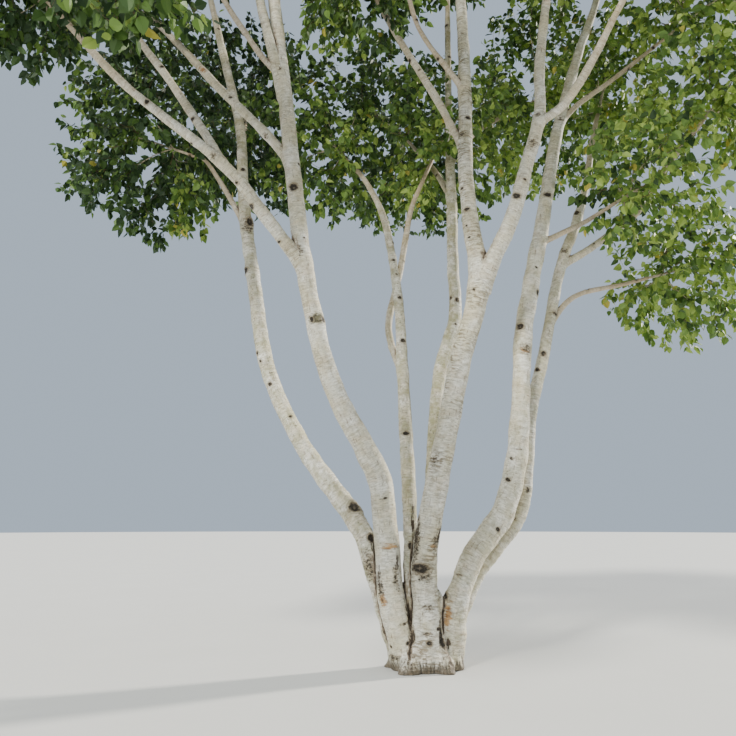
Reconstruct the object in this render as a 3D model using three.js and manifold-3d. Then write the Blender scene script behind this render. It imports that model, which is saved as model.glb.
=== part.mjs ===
import * as THREE from 'three';
import * as BufferGeometryUtils from 'three/addons/utils/BufferGeometryUtils.js';
import Module from 'manifold-3d';

const wasm = await Module();
wasm.setup();

// A Himalayan birch grown as a clump: seven stems from one foot, their boughs, and the crown.
// Sizes are millimetres. X runs across the clump, Y back from its front, Z up from the ground.
// The origin is in the flat cut under the foot.

const SEAM = 0.3;
const SAME_POINT = 0.001;
const FINEST = 0.002;
const FORK_HEIGHT = 550;
const BELOW = 60;
const BEYOND = 12000;
const STEM_SIDES = 8;
const BOUGH_SIDES = 6;

// The foot is filled between the stems, and has low root swellings.
const CORE = { x: 30, y: -5, wide: 185, deep: 135, height: 470, taper: 0.62, sides: 9 };
const ROOTS = { count: 5, inner: 95, reach: 285, rise: 150, girth: 125, tip: 70, turn: 0.35, shoulder: 0.3 };

// Foliage: each mass fills an ellipsoid past its bough's tip, up to halfway to its neighbours.
const CENTRE_REACH = 0.45;
const CELL_MARGIN = 6;
const SEED_STEP = 31;
const LEADER_REACHES = [0.7, 0.5, 0.3, 0.15];
const LEADER_JOINTS = [0.25, 0.45, 0.65, 0.85];
const TWIG_JOINTS = [0.45, 0.8];
const LEADER_TIP = 8;
const TWIG_RADIUS = 7;
const TWIG_TAPER = 0.88;
const TWIG_FOOT = 0.5;
const CLEARANCE = 8;
const PATH_COST = 0.45;
const JOINT_OPTIONS = 4;
const TARGET_FILL = 0.74;
const TARGET_TRIES = 600;
const LEAVES = 13;
const LEAF = { length: 540, width: 400, thick: 16, widest: 0.42, sag: 0.4, turn: 0.8, spacing: 360 };
const LEAF_SCALES = [1, 0.8, 0.62];

// A three-sided ring of radius 1 is this thick, and this far from its middle to each side.
const TRIANGLE = { sides: 3, thick: 1.5, half: Math.cos(Math.PI / 6) };

const BARK = new THREE.MeshStandardMaterial({ color: 0xd9d0bf, roughness: 0.75, metalness: 0 });
const FOOT_BARK = new THREE.MeshStandardMaterial({ color: 0xa79d8c, roughness: 0.9, metalness: 0 });
const BOUGH_BARK = new THREE.MeshStandardMaterial({ color: 0xc9bca4, roughness: 0.8, metalness: 0 });
const GREEN = new THREE.MeshStandardMaterial({ color: 0x4d7230, roughness: 0.6, metalness: 0 });

// Stems: stations [x, y, z, girth] along the middle of each, girth being the width across it.
const STEMS = [
  { name: 'stem_left', foliage: 'foliage_left_top', spread: 1050, line: [
    [-105, -30, -BELOW, 240], [-138, -38, 110, 200], [-219, -60, 440, 176], [-264, -90, 970, 163],
    [-306, -110, 1252, 160], [-400, -120, 1435, 154], [-658, -160, 1975, 134], [-844, -200, 2820, 121],
    [-985, -150, 3934, 111], [-1125, -60, 5006, 96], [-1240, 40, 5900, 74], [-1330, 160, 7250, 32]] },
  { name: 'stem_mid_right', foliage: 'foliage_top', spread: 950, line: [
    [0, -80, -BELOW, 235], [2, -88, 110, 200], [5, -100, 380, 185], [-5, -100, 630, 167],
    [47, -120, 1003, 162], [168, -150, 1584, 152], [263, -170, 2044, 149], [400, -205, 2580, 145],
    [363, -170, 3115, 113], [348, -120, 3558, 110], [370, -50, 4179, 103], [376, 70, 5016, 84],
    [310, 230, 6600, 52], [250, 290, 8000, 26]] },
  { name: 'stem_right', foliage: 'foliage_right_top', spread: 1050, hang: 1.4, line: [
    [148, -10, -BELOW, 205], [178, -18, 110, 170], [203, -30, 306, 156], [250, -20, 514, 152],
    [333, 0, 706, 160], [559, 60, 1005, 168], [660, 70, 1297, 156], [737, 110, 1828, 132],
    [775, 150, 2265, 131], [858, 190, 2683, 130], [1012, 260, 3336, 110], [1160, 330, 4027, 94],
    [1393, 390, 4801, 76], [1570, 430, 5274, 61], [1850, 480, 6200, 34]] },
  { name: 'stem_far_left', foliage: 'foliage_far_left_top', spread: 1000, hang: 1.5, line: [
    [-130, 40, -BELOW, 185], [-176, 34, 110, 150], [-263, 20, 362, 128], [-324, 5, 585, 120],
    [-414, 20, 875, 136], [-542, 80, 1068, 149], [-836, 150, 1468, 124], [-1126, 230, 2053, 113],
    [-1252, 310, 2673, 108], [-1390, 410, 3520, 94], [-1462, 500, 4204, 80], [-1646, 600, 4945, 68],
    [-2000, 760, 6350, 30]] },
  { name: 'stem_centre', foliage: 'foliage_rear_left_low', spread: 950, line: [
    [-60, 10, -BELOW, 140], [-66, 6, 110, 118], [-89, -10, 420, 111], [-84, -20, 825, 101],
    [-89, 30, 1105, 104], [-98, 130, 1431, 103], [-112, 300, 2026, 92], [-133, 420, 2614, 78],
    [-189, 560, 3137, 66], [-252, 640, 3480, 58], [-420, 900, 3950, 44], [-620, 1150, 4300, 30]] },
  { name: 'stem_rear', foliage: 'foliage_rear_top', spread: 1050, hang: 1.65, line: [
    [30, 120, -BELOW, 130], [38, 138, 110, 108], [70, 220, 800, 95], [115, 300, 1624, 93],
    [201, 450, 2177, 106], [325, 560, 2565, 105], [331, 660, 3043, 93], [348, 790, 3702, 87],
    [358, 930, 4439, 73], [400, 1150, 6000, 44], [410, 1200, 6600, 30]] },
  { name: 'stem_right_rear', foliage: 'foliage_right_rear', spread: 950, line: [
    [165, 60, -BELOW, 120], [200, 74, 110, 104], [250, 90, 300, 97], [385, 120, 586, 97],
    [545, 150, 790, 104], [700, 170, 992, 107], [777, 200, 1320, 96], [830, 260, 1709, 90],
    [968, 340, 2185, 89], [1185, 480, 2987, 85], [1335, 540, 3339, 80], [1456, 600, 3697, 63],
    [1600, 750, 4250, 48], [1780, 1020, 4750, 30]] },
];

// Boughs, in the order they leave the stems: each starts inside the limb that it grows from.
const BOUGHS = [
  { name: 'bough_left', foliage: 'foliage_left', spread: 900, line: [
    [-857, -200, 2760, 104], [-1108, -310, 3070, 87], [-1284, -400, 3293, 84], [-1481, -500, 3461, 70],
    [-1777, -600, 3669, 62], [-2075, -720, 3891, 54], [-2511, -900, 4346, 36]] },
  { name: 'bough_left_upper', foliage: 'foliage_left_upper', spread: 900, hang: 1.25, line: [
    [-1400, -460, 3420, 62], [-1555, -430, 3676, 63], [-1824, -380, 4093, 58], [-2147, -330, 4573, 48],
    [-2330, -260, 5050, 32]] },
  { name: 'bough_left_high', foliage: 'foliage_left_rear', spread: 950, hang: 1.2, line: [
    [-945, -160, 3540, 74], [-1115, -130, 3772, 71], [-1543, -40, 4254, 66], [-1854, 40, 4641, 56],
    [-2030, 90, 4848, 49], [-2420, 560, 5400, 28]] },
  { name: 'bough_left_twin', foliage: 'foliage_left_inner', spread: 1000, hang: 1.35, line: [
    [-1030, -128, 4100, 74], [-1099, -150, 4413, 77], [-1147, -170, 4614, 77], [-1215, -190, 4904, 72],
    [-1420, -330, 6000, 34]] },
  { name: 'bough_front_left', foliage: 'foliage_front_left', spread: 1050, line: [
    [-1120, -155, 4350, 46], [-1194, -150, 4443, 46], [-1344, -200, 4652, 44], [-1453, -260, 4805, 42],
    [-1650, -700, 5050, 36], [-1800, -1200, 5200, 26]] },
  { name: 'bough_front_left_low', foliage: 'foliage_front_left_low', spread: 900, hang: 1.2, line: [
    [-1640, -670, 5030, 34], [-1600, -1500, 4950, 32], [-1500, -2200, 4600, 26],
    [-1450, -2500, 4150, 20]] },
  { name: 'bough_far_left', foliage: 'foliage_far_left_low', spread: 900, hang: 1.15, line: [
    [-1310, 370, 3080, 48], [-1379, 390, 3294, 48], [-1489, 420, 3507, 45], [-1620, 460, 3730, 38],
    [-1760, 505, 3930, 31], [-1900, 550, 4000, 24]] },
  { name: 'bough_rear_left', foliage: 'foliage_rear_left', spread: 1150, hang: 1.1, line: [
    [-1428, 460, 3863, 54], [-1500, 900, 4300, 46], [-1600, 1500, 4800, 36], [-1650, 1800, 5000, 28]] },
  { name: 'bough_centre', foliage: 'foliage_rear_low', spread: 900, line: [
    [-113, 320, 2050, 56], [-200, 440, 2330, 57], [-214, 510, 2500, 56], [-160, 565, 2780, 54],
    [-119, 580, 2952, 53], [-55, 610, 3321, 48], [-10, 660, 3556, 42], [200, 980, 4150, 26]] },
  { name: 'bough_rear', foliage: 'foliage_rear', spread: 1050, hang: 1.3, line: [
    [348, 790, 3702, 56], [250, 1100, 4100, 50], [100, 1600, 4600, 38], [50, 1900, 4850, 28]] },
  { name: 'bough_rear_right', foliage: 'foliage_rear_right', spread: 1050, hang: 1.15, line: [
    [354, 860, 4068, 54], [600, 1150, 4500, 46], [950, 1500, 4900, 36], [1150, 1700, 5100, 26]] },
  { name: 'bough_mid_right', foliage: 'foliage_mid_right', spread: 1050, hang: 1.45, line: [
    [410, -205, 2560, 130], [518, -260, 2790, 114], [651, -330, 3092, 106], [753, -390, 3458, 99],
    [840, -420, 3770, 88], [863, -410, 4154, 76], [950, -380, 4755, 60], [1100, -480, 5600, 34]] },
  { name: 'bough_front_right', foliage: 'foliage_front_right', spread: 1050, hang: 1.1, line: [
    [830, -418, 3730, 66], [914, -460, 3767, 61], [1006, -500, 3836, 62], [1175, -600, 4082, 56],
    [1345, -700, 4409, 45], [1750, -1000, 5100, 26]] },
  { name: 'bough_front_low', foliage: 'foliage_front_low', spread: 1020, line: [
    [943, -382, 4700, 46], [950, -900, 5000, 38], [900, -1500, 5050, 30], [850, -1900, 4950, 24]] },
  { name: 'bough_mid_left', foliage: 'foliage_mid_left', spread: 950, hang: 1.4, line: [
    [352, -110, 3660, 56], [238, -80, 3933, 54], [145, -60, 4147, 60], [-71, 0, 4586, 54],
    [-282, 60, 5045, 41], [-380, 100, 5350, 28]] },
  { name: 'bough_front', foliage: 'foliage_front', spread: 1100, line: [
    [368, -55, 4200, 48], [256, -70, 4364, 46], [78, -120, 4589, 39], [-15, -150, 4768, 36],
    [-200, -700, 5200, 32], [-280, -1250, 5400, 26]] },
  { name: 'bough_top_front', foliage: 'foliage_top_front', spread: 1100, line: [
    [345, 150, 5780, 48], [300, -300, 6300, 36], [250, -700, 6650, 24]] },
  { name: 'bough_top_right', foliage: 'foliage_top_right', spread: 1050, line: [
    [310, 230, 6560, 40], [700, 200, 7100, 32], [950, 150, 7400, 22]] },
  { name: 'bough_right_upper', foliage: 'foliage_right_upper', spread: 950, line: [
    [1195, 345, 4150, 48], [1345, 340, 4320, 46], [1654, 330, 4554, 40], [2150, 290, 4950, 26]] },
  { name: 'bough_right_inner', foliage: 'foliage_right_inner', spread: 750, line: [
    [985, 250, 3090, 48], [1138, 230, 3161, 46], [1301, 210, 3236, 39], [1550, 150, 3380, 26]] },
  { name: 'bough_right', foliage: 'foliage_right', spread: 950, line: [
    [1200, 488, 2990, 64], [1408, 470, 3112, 64], [1643, 410, 3277, 54], [1786, 380, 3385, 49],
    [1985, 330, 3691, 48], [2350, 250, 4150, 28]] },
  { name: 'bough_right_low', foliage: 'foliage_right_low', spread: 800, line: [
    [1060, 405, 2480, 50], [1197, 440, 2655, 44], [1322, 470, 2739, 40], [1718, 550, 2849, 33],
    [1929, 600, 2917, 24]] },
];

function solidOf(geometry) {
  const bare = geometry.index ? geometry.toNonIndexed() : geometry.clone();
  bare.deleteAttribute('normal');
  bare.deleteAttribute('uv');
  const merged = BufferGeometryUtils.mergeVertices(bare, SAME_POINT);
  return new wasm.Manifold(new wasm.Mesh({
    numProp: 3,
    vertProperties: new Float32Array(merged.attributes.position.array),
    triVerts: new Uint32Array(merged.index.array),
  }));
}

function geometryOf(solid) {
  const mesh = solid.getMesh();
  const geometry = new THREE.BufferGeometry();
  geometry.setAttribute('position', new THREE.BufferAttribute(mesh.vertProperties, 3));
  geometry.setIndex(new THREE.BufferAttribute(mesh.triVerts, 1));
  geometry.computeVertexNormals();
  return geometry;
}

function largestPart(solid) {
  const parts = solid.decompose();
  return parts.sort((a, b) => b.volume() - a.volume())[0];
}

// The least height of any of a solid's triangles.
function leastHeight(solid) {
  const { vertProperties, triVerts } = solid.getMesh();
  const corner = (i) => new THREE.Vector3().fromArray(vertProperties, 3 * triVerts[i]);
  let least = Infinity;
  for (let i = 0; i < triVerts.length; i += 3) {
    const corners = [corner(i), corner(i + 1), corner(i + 2)];
    const edges = corners.map((at, k) => at.distanceTo(corners[(k + 1) % 3]));
    least = Math.min(least, 2 * new THREE.Triangle(...corners).getArea() / Math.max(...edges));
  }
  return least;
}

// Everything between two heights.
function layerSolid(bottom, top) {
  const layer = new THREE.BoxGeometry(2 * BEYOND, 2 * BEYOND, top - bottom);
  layer.translate(0, 0, (top + bottom) / 2);
  return solidOf(layer);
}

// The directions square to a smooth curve through the stations, turned as little as possible.
function framesOf(line) {
  const points = line.map(([x, y, z]) => new THREE.Vector3(x, y, z));
  const curve = new THREE.CatmullRomCurve3(points, false, 'centripetal');
  let heading = curve.getTangent(0);
  let across = new THREE.Vector3(0, 1, 0).cross(heading).normalize();
  return points.map((at, i) => {
    const next = curve.getTangent(i / (points.length - 1));
    across = across.clone().applyQuaternion(new THREE.Quaternion().setFromUnitVectors(heading, next));
    heading = next;
    return { at, heading, across, face: across.clone().cross(heading) };
  });
}

// A tapering limb: a cylinder with a ring at each station, as wide as the girth there.
function limbSolid(line, sides, proud = 0) {
  const frames = framesOf(line);
  const steps = line.length - 1;
  const tube = new THREE.CylinderGeometry(1, 1, 1, sides, steps);
  const position = tube.attributes.position;
  for (let i = 0; i < position.count; i++) {
    const ring = Math.round((position.getY(i) + 0.5) * steps);
    const radius = line[ring][3] / 2 + proud / Math.cos(Math.PI / sides);
    const point = frames[ring].at.clone();
    point.addScaledVector(frames[ring].across, position.getX(i) * radius);
    point.addScaledVector(frames[ring].face, position.getZ(i) * radius);
    position.setXYZ(i, point.x, point.y, point.z);
  }
  return solidOf(tube);
}

// The foot: the stems' lower ends, a filling between them and the root swellings, cut flat.
function footSolid(stems) {
  const core = new THREE.CylinderGeometry(CORE.taper, 1, CORE.height + BELOW, CORE.sides);
  core.rotateX(Math.PI / 2);
  core.scale(CORE.wide, CORE.deep, 1);
  core.translate(CORE.x, CORE.y, (CORE.height - BELOW) / 2);
  const roots = Array.from({ length: ROOTS.count }, (_, i) => {
    const angle = ROOTS.turn + i * 2 * Math.PI / ROOTS.count;
    const along = (radius, z, girth) => [radius * Math.cos(angle), radius * Math.sin(angle), z, girth];
    const top = along(ROOTS.inner, ROOTS.rise, ROOTS.girth);
    const shoulder = along((ROOTS.inner + ROOTS.reach) / 2, ROOTS.rise * ROOTS.shoulder, ROOTS.girth);
    const tip = along(ROOTS.reach, -BELOW, ROOTS.tip);
    return limbSolid([top, shoulder, tip], BOUGH_SIDES);
  });
  const lower = stems.map((stem) => limbSolid(stem.line, STEM_SIDES));
  const whole = wasm.Manifold.union([solidOf(core), ...roots, ...lower]);
  return largestPart(whole.intersect(layerSolid(0, FORK_HEIGHT)));
}

// The van der Corput sequence: even steps through 0 to 1 for the twigs' targets.
function evenStep(index, base) {
  let share = 0;
  let part = 1 / base;
  for (let rest = index; rest > 0; rest = Math.floor(rest / base)) {
    share += part * (rest % base);
    part /= base;
  }
  return share;
}

// A mass's own space: its ellipsoid, cut halfway to each neighbour in proportion to their spreads.
function spaceOf(mass, masses) {
  const walls = masses.filter((other) => other !== mass).map((other) => {
    const away = other.centre.clone().sub(mass.centre);
    const apart = away.length();
    const share = (apart ** 2 + mass.spread ** 2 - other.spread ** 2) / (2 * apart);
    return { normal: away.divideScalar(apart), share };
  });
  return (point, margin) => {
    const offset = point.clone().sub(mass.centre);
    const inside = Math.hypot(offset.x, offset.y, offset.z / mass.hang) <= mass.spread;
    return inside && walls.every((wall) => wall.normal.dot(offset) <= wall.share - margin);
  };
}

// Where a leaf lies that has its root at a point: its own directions, widest place and corners.
function leafAt(at, heading, roll, scale) {
  const across = new THREE.Vector3(0, 0, 1).cross(heading).normalize().applyAxisAngle(heading, roll);
  const face = across.clone().cross(heading);
  const widest = at.clone().addScaledVector(heading, LEAF.length * LEAF.widest * scale);
  const tip = at.clone().addScaledVector(heading, LEAF.length * scale);
  const half = LEAF.width / 2 * scale;
  const corners = [-half, half].map((side) => widest.clone().addScaledVector(across, side));
  return { at, heading, across, face, widest, tip, corners: [...corners, tip], half };
}

// A sprig is a three-sided twig whose end opens into a leaf: the rings of a cone, moved to the
// twig's foot, the leaf's root and the leaf's widest place, with the cone's point as leaf tip.
function sprigSolid(joint, leaf) {
  const course = leaf.at.clone().sub(joint.at).normalize();
  const bend = new THREE.Quaternion().setFromUnitVectors(leaf.heading, course);
  const twigAcross = leaf.across.clone().applyQuaternion(bend);
  const twigFace = leaf.face.clone().applyQuaternion(bend);
  const { footRadius, tipRadius } = joint;
  const wide = leaf.half / TRIANGLE.half;
  const thick = LEAF.thick / TRIANGLE.thick;
  const rings = [
    { at: joint.at, across: twigAcross, face: twigFace, wide: footRadius, thick: footRadius },
    { at: leaf.at, across: twigAcross, face: twigFace, wide: tipRadius, thick: tipRadius },
    { at: leaf.widest, across: leaf.across, face: leaf.face, wide, thick },
    { at: leaf.tip, across: leaf.across, face: leaf.face, wide: 0, thick: 0 },
  ];
  const steps = rings.length - 1;
  const sprig = new THREE.ConeGeometry(1, 1, TRIANGLE.sides, steps);
  const position = sprig.attributes.position;
  for (let i = 0; i < position.count; i++) {
    const index = Math.round((position.getY(i) + 0.5) * steps);
    const ring = rings[index];
    const ownRadius = Math.max(1 - index / steps, 1 / steps);
    const point = ring.at.clone();
    point.addScaledVector(ring.across, position.getX(i) / ownRadius * ring.wide);
    point.addScaledVector(ring.face, position.getZ(i) / ownRadius * ring.thick);
    position.setXYZ(i, point.x, point.y, point.z);
  }
  return solidOf(sprig);
}

// The places along a twig where others may join it, with the way back to the bough from each.
function jointsAlong(from, to, path, shares, radius) {
  const length = from.distanceTo(to);
  return shares.map((share) => ({ at: from.clone().lerp(to, share), path: path + length * share, radius }));
}

// The first sprig carries on from the bough's tip, as far as the mass's space lets it.
function leaderOf(mass, root, fits, limbs) {
  for (const reach of LEADER_REACHES) {
    const at = root.clone().addScaledVector(mass.heading, mass.spread * reach);
    const leaf = leafAt(at, mass.heading, 0, LEAF_SCALES[0]);
    if (!leaf.corners.every((corner) => fits(corner, CELL_MARGIN))) continue;
    const solid = sprigSolid({ at: root, footRadius: mass.tipRadius, tipRadius: LEADER_TIP }, leaf);
    if (solid.minGap(limbs, SEAM) < SEAM / 2) continue;
    return { solid, joints: jointsAlong(root, at, 0, LEADER_JOINTS, TWIG_RADIUS) };
  }
  throw new Error(`${mass.name} has no room for its leader`);
}

// Even targets in the mass's space, each with a leaf that points out, on and a little down.
function targetsOf(mass, root, fits) {
  const targets = [];
  for (let index = mass.seed; index < mass.seed + TARGET_TRIES && targets.length < LEAVES; index++) {
    const unit = new THREE.Vector3(evenStep(index, 2), evenStep(index, 3), evenStep(index, 5));
    unit.multiplyScalar(2).subScalar(1);
    const reach = new THREE.Vector3(mass.spread, mass.spread, mass.spread * mass.hang);
    const at = unit.clone().multiply(reach).multiplyScalar(TARGET_FILL).add(mass.centre);
    if (unit.length() > 1 || !fits(at, CELL_MARGIN + TWIG_RADIUS)) continue;
    const heading = at.clone().sub(root).normalize();
    heading.addScaledVector(at.clone().sub(mass.centre), 1 / mass.spread);
    heading.z -= LEAF.sag;
    heading.normalize();
    const roll = (evenStep(index, 7) - 0.5) * Math.PI * LEAF.turn;
    const leaves = LEAF_SCALES.map((scale) => leafAt(at, heading, roll, scale));
    const leaf = leaves.find(({ corners }) => corners.every((corner) => fits(corner, CELL_MARGIN)));
    if (leaf && targets.every((other) => other.widest.distanceTo(leaf.widest) > LEAF.spacing)) {
      targets.push(leaf);
    }
  }
  return targets.sort((a, b) => a.at.distanceTo(root) - b.at.distanceTo(root));
}

// One mass: a leader on from the bough's tip, and sprigs that join even targets to the nearest
// joint that isn't a long way round. A sprig that would near a limb, or meet the others in a
// sliver too fine to make, takes another joint or is left out.
function massSolid(mass, masses, limbs) {
  const fits = spaceOf(mass, masses);
  const root = mass.tip.clone().addScaledVector(mass.heading, SEAM);
  const leader = leaderOf(mass, root, fits, limbs);
  const joints = leader.joints;
  let whole = leader.solid;
  for (const leaf of targetsOf(mass, root, fits)) {
    const cost = (joint) => leaf.at.distanceTo(joint.at) + PATH_COST * joint.path;
    const options = [...joints].sort((a, b) => cost(a) - cost(b)).slice(0, JOINT_OPTIONS);
    for (const joint of options) {
      const tipRadius = joint.radius * TWIG_TAPER;
      const solid = sprigSolid({ at: joint.at, footRadius: joint.radius * TWIG_FOOT, tipRadius }, leaf);
      if (solid.minGap(limbs, CLEARANCE) < CLEARANCE) continue;
      const joined = whole.add(solid);
      if (leastHeight(joined) < FINEST) continue;
      whole = joined;
      joints.push(...jointsAlong(joint.at, leaf.at, joint.path, TWIG_JOINTS, tipRadius));
      break;
    }
  }
  return largestPart(whole);
}

function namedMesh(name, solid, material) {
  const mesh = new THREE.Mesh(geometryOf(solid), material);
  mesh.name = name;
  return mesh;
}

const birch = new THREE.Group();
birch.add(namedMesh('trunk', footSolid(STEMS), FOOT_BARK));

const aboveFork = layerSolid(FORK_HEIGHT + SEAM, BEYOND);
let taken = layerSolid(-BEYOND, FORK_HEIGHT + SEAM);
const limbs = [];
for (const limb of [...STEMS, ...BOUGHS]) {
  const isStem = STEMS.includes(limb);
  const sides = isStem ? STEM_SIDES : BOUGH_SIDES;
  const solid = largestPart(limbSolid(limb.line, sides).intersect(aboveFork).subtract(taken));
  taken = taken.add(limbSolid(limb.line, sides, SEAM));
  limbs.push(solid);
  birch.add(namedMesh(limb.name, solid, isStem ? BARK : BOUGH_BARK));
}

const masses = [...STEMS, ...BOUGHS].map((limb, i) => {
  const { at: tip, heading } = framesOf(limb.line).at(-1);
  const centre = tip.clone().addScaledVector(heading, limb.spread * CENTRE_REACH);
  return { name: limb.foliage, tip, heading, centre, spread: limb.spread, hang: limb.hang ?? 1,
    tipRadius: limb.line.at(-1)[3] / 2, seed: 1 + i * SEED_STEP };
});
const allLimbs = wasm.Manifold.union(limbs);
for (const mass of masses) {
  birch.add(namedMesh(mass.name, massSolid(mass, masses, allLimbs), GREEN));
}

export default birch;
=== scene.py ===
import math

import bmesh
import bpy
import numpy as np
from mathutils import Matrix, Vector
from mathutils.kdtree import KDTree


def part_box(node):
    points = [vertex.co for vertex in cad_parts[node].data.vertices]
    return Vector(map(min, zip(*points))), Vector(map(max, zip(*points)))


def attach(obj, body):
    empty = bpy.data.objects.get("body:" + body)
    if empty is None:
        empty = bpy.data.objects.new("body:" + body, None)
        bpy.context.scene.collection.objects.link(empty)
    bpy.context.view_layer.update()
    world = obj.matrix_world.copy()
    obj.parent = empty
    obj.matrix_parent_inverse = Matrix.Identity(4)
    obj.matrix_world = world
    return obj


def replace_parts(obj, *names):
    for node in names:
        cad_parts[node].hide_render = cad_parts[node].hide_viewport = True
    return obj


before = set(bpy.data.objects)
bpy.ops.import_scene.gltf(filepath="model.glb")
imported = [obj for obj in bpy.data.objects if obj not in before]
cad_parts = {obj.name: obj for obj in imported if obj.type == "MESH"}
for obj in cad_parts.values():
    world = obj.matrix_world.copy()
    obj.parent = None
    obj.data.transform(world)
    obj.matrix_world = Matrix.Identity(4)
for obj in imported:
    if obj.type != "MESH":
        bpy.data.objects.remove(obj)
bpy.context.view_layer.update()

# The viewpoint, in metres, and its focal length in pixels of a square image.
CAMERA_AT = np.array((-0.379, -5.2, 0.964))
CAMERA_TILT = math.radians(11.65)
FRAME_PX = 736
FOCAL_PX = 737
SENSOR_MM = 36

# Wood, in metres: the clump is one skin up to the melded height, and separate limbs above it.
FORK_HEIGHT = 0.55
MELD_HEIGHT = 1.15
MELD_LAP = 0.05
MELD_SHY = 0.002
BELOW_GROUND = 0.06
SPAN_STEPS = 24
FINE_STEP = 0.014
COARSE_STEP = 0.035
FINE_TOP = 5.0
SIDE_WIDTH = 0.014
FEWEST_SIDES = 10
GIRTH_EASE = 0.12
WELD = 1e-5
TINY = 1e-6
LEAST_LENGTH = 1e-12
PER_METRE = 1000

# The bark's relief: swellings, dimples, and the rim and hollow of a mark, as shares of its size.
SWELL = 0.05
SWELL_WAVES = 4.5
DIMPLE = 0.0012
DIMPLE_WAVES = 26
DIMPLE_FULL = 0.05
DIMPLE_SEED = 50
GRAIN_SHIFT = 11.0
YOUNG_BELOW = 0.034
YOUNG_EASE = 0.026
MARK_EDGE = 0.9
MARK_REACH = 3
RIM = 0.13
RIM_AT = 1.1
RIM_WIDTH = 0.5
HOLLOW = 0.10
HOLLOW_WIDTH = 0.7
RIPPLE_PACE = (0.5, 1.5)

# Eyes on the sides that the marks' table doesn't cover.
EYE_EVERY = 0.34
EYE_STRAY = 0.4
EYE_SIZES = (0.022, 0.05)
EYE_HEIGHT = 0.75
EYE_SEED = 700
SEEN_FACING = -0.1

# Where limbs meet: the bark swells, and the crotch is darkened with painted shade over darker crotch bark.
CREASE_REACH = 1.1
CREASE_LOOK = 0.1
CREASE_FACING = 0.45
CREASE_SWELL = 0.25

# The foot: the filling between the stems' lower ends, the saddle in the right crotch (x, y, z and
# girth in millimetres), the low root swellings, and its lumps and creases.
CORE = {"x": 0.03, "y": -0.005, "wide": 0.185, "deep": 0.135, "height": 0.47, "taper": 0.62,
        "sides": 24, "round": 0.07, "round_steps": 4}
SADDLE = ((55, -60, 500, 70), (125, -50, 405, 100), (235, -30, 600, 50))
SADDLE_INDEX = 89
ROOTS = {"count": 5, "inner": 0.095, "reach": 0.24, "rise": 0.19, "girth": 0.14, "tip": 0.125,
         "turn": 0.35, "shoulder": 0.3}
ROOT_INDEX = 90
FOOT_VOXEL = 0.0065
FOOT_SOFTENING = 6
FOOT_FLAT = 0.02
FOOT_LUMP = 0.007
FOOT_LUMP_WAVES = 9
FOOT_LUMP_TOP = 0.5
FOOT_SEED = 31
FOOT_CREASE = 0.032
FOOT_GROOVE = 0.008
FOOT_FACING = 0.85
FOOT_FACING_GAIN = 2.5
FOOT_LEAST_RADIUS = 0.02
FOOT_EXTRA_RINGS = 12
LEVEL_FACE = 0.999

# Foliage: each mass fills an ellipsoid past its bough's tip, up to halfway to its neighbours.
CENTRE_REACH = 0.45
CELL_MARGIN = 0.006
SEED_STEP = 31
STEP_BASES = (2, 3, 5)
ROLL_BASE = 7
LEADER_REACHES = (0.7, 0.5, 0.3, 0.15)
SPRAYS = 13
SPRAY = {"length": 0.54, "width": 0.40, "widest": 0.42, "sag": 0.4, "turn": 0.8, "apart": 0.36}
SPRAY_SCALES = (1, 0.8, 0.62)
SPRAY_FILL = 0.74
SPRAY_TRIES = 600
TWIG_CORE = 0.007
PATH_COST = 0.45
JOINT_OPTIONS = 4

# The source's rule carried on to finer twigs, in metres.
TWIGS_PER_VOLUME = 112
TWIG_FILL = 0.97
TWIG_PULL = 0.26
TWIG_PULL_RANGE = (0.4, 1.6)
TWIG_STRAY = 0.03
TWIG_WILD = 0.5
TWIG_SAG = 0.8
MAIN_JOINTS = (0.25, 0.45, 0.65, 0.85)
FINE_JOINTS = (0.4, 0.7, 0.95)
TURN_COST = 0.12
START_BEND = 0.35
END_BEND = 0.3
JOINT_PULL = 0.7
GAP_PULL = 0.6
END_PULL = 0.5
LONGEST_TWIG = 0.55
LIMB_CLEARANCE = 0.008
CLEAR_SHARES = np.array((0.35, 0.7, 1.0))
TWIG_TIP = 0.0011
TWIG_END_SHARE = 0.4
TWIG_POINT = 0.3
BRANCH_RADIUS = 0.0042
BRANCH_FACETS = (7, 8)
TWIG_FACETS = (3, 4)
OFF_AXIS = np.array((0.3, 0.2, 0.93))

# Leaves, in metres or as shares of a leaf.
LEAF_SEED = 11
LEAF_LENGTH = 0.068
LEAF_SIZES = (0.72, 1.22)
LEAF_WIDTH = 0.80
LEAF_OUTLINE = np.array(((0.07, 0.62), (0.34, 1.0), (0.69, 0.64)))
LEAF_FACES = np.array(((0, 3, 2), (0, 4, 3), (0, 1, 4), (0, 5, 6), (0, 6, 7), (0, 7, 1), (0, 8, 9)))
LEAF_FOLD = 0.28
LEAF_CURL = 0.12
LEAF_EVERY = 0.0185
FEWEST_LEAVES = 3
LEAF_FROM = 0.15
LEAF_LATE = 0.9
LEAF_STRAY = 0.02
LEAF_STALK = 0.016
STALK_SIDES = np.array((-0.0009, 0.0009))
LEAF_TURN = math.radians(137.5)
LEAF_TURN_STRAY = 0.8
LEAF_ASIDE = 0.7
LEAF_ALONG = 0.35
LEAF_DROOP = 0.75
LEAF_WILD = 0.3
LEAF_LEVEL = 0.5
LEAF_TILT = 0.6
LEAF_CLEARANCE = 0.02
BOX_SLACK = 0.03
UP = np.array((0.0, 0.0, 1.0))

# How the leaf tints are dealt out: darker to the left and near the front as painted shade, lighter to the
# right as painted sunlight, then by spray and by leaf.
TINT_SEED = 5
MIDDLE_PAINTED_LIGHT = 0.49
PAINTED_LIGHT_ACROSS = 0.125
NEAR_LEFT_PAINTED_SHADE = 0.16
NEAR_FROM = 1
SPRAY_TINT_SPREAD = 0.13
LEAF_TINT_SPREAD = 0.26
YELLOW_LEAVES = 0.004
YELLOW_MORE = 0.012

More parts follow.
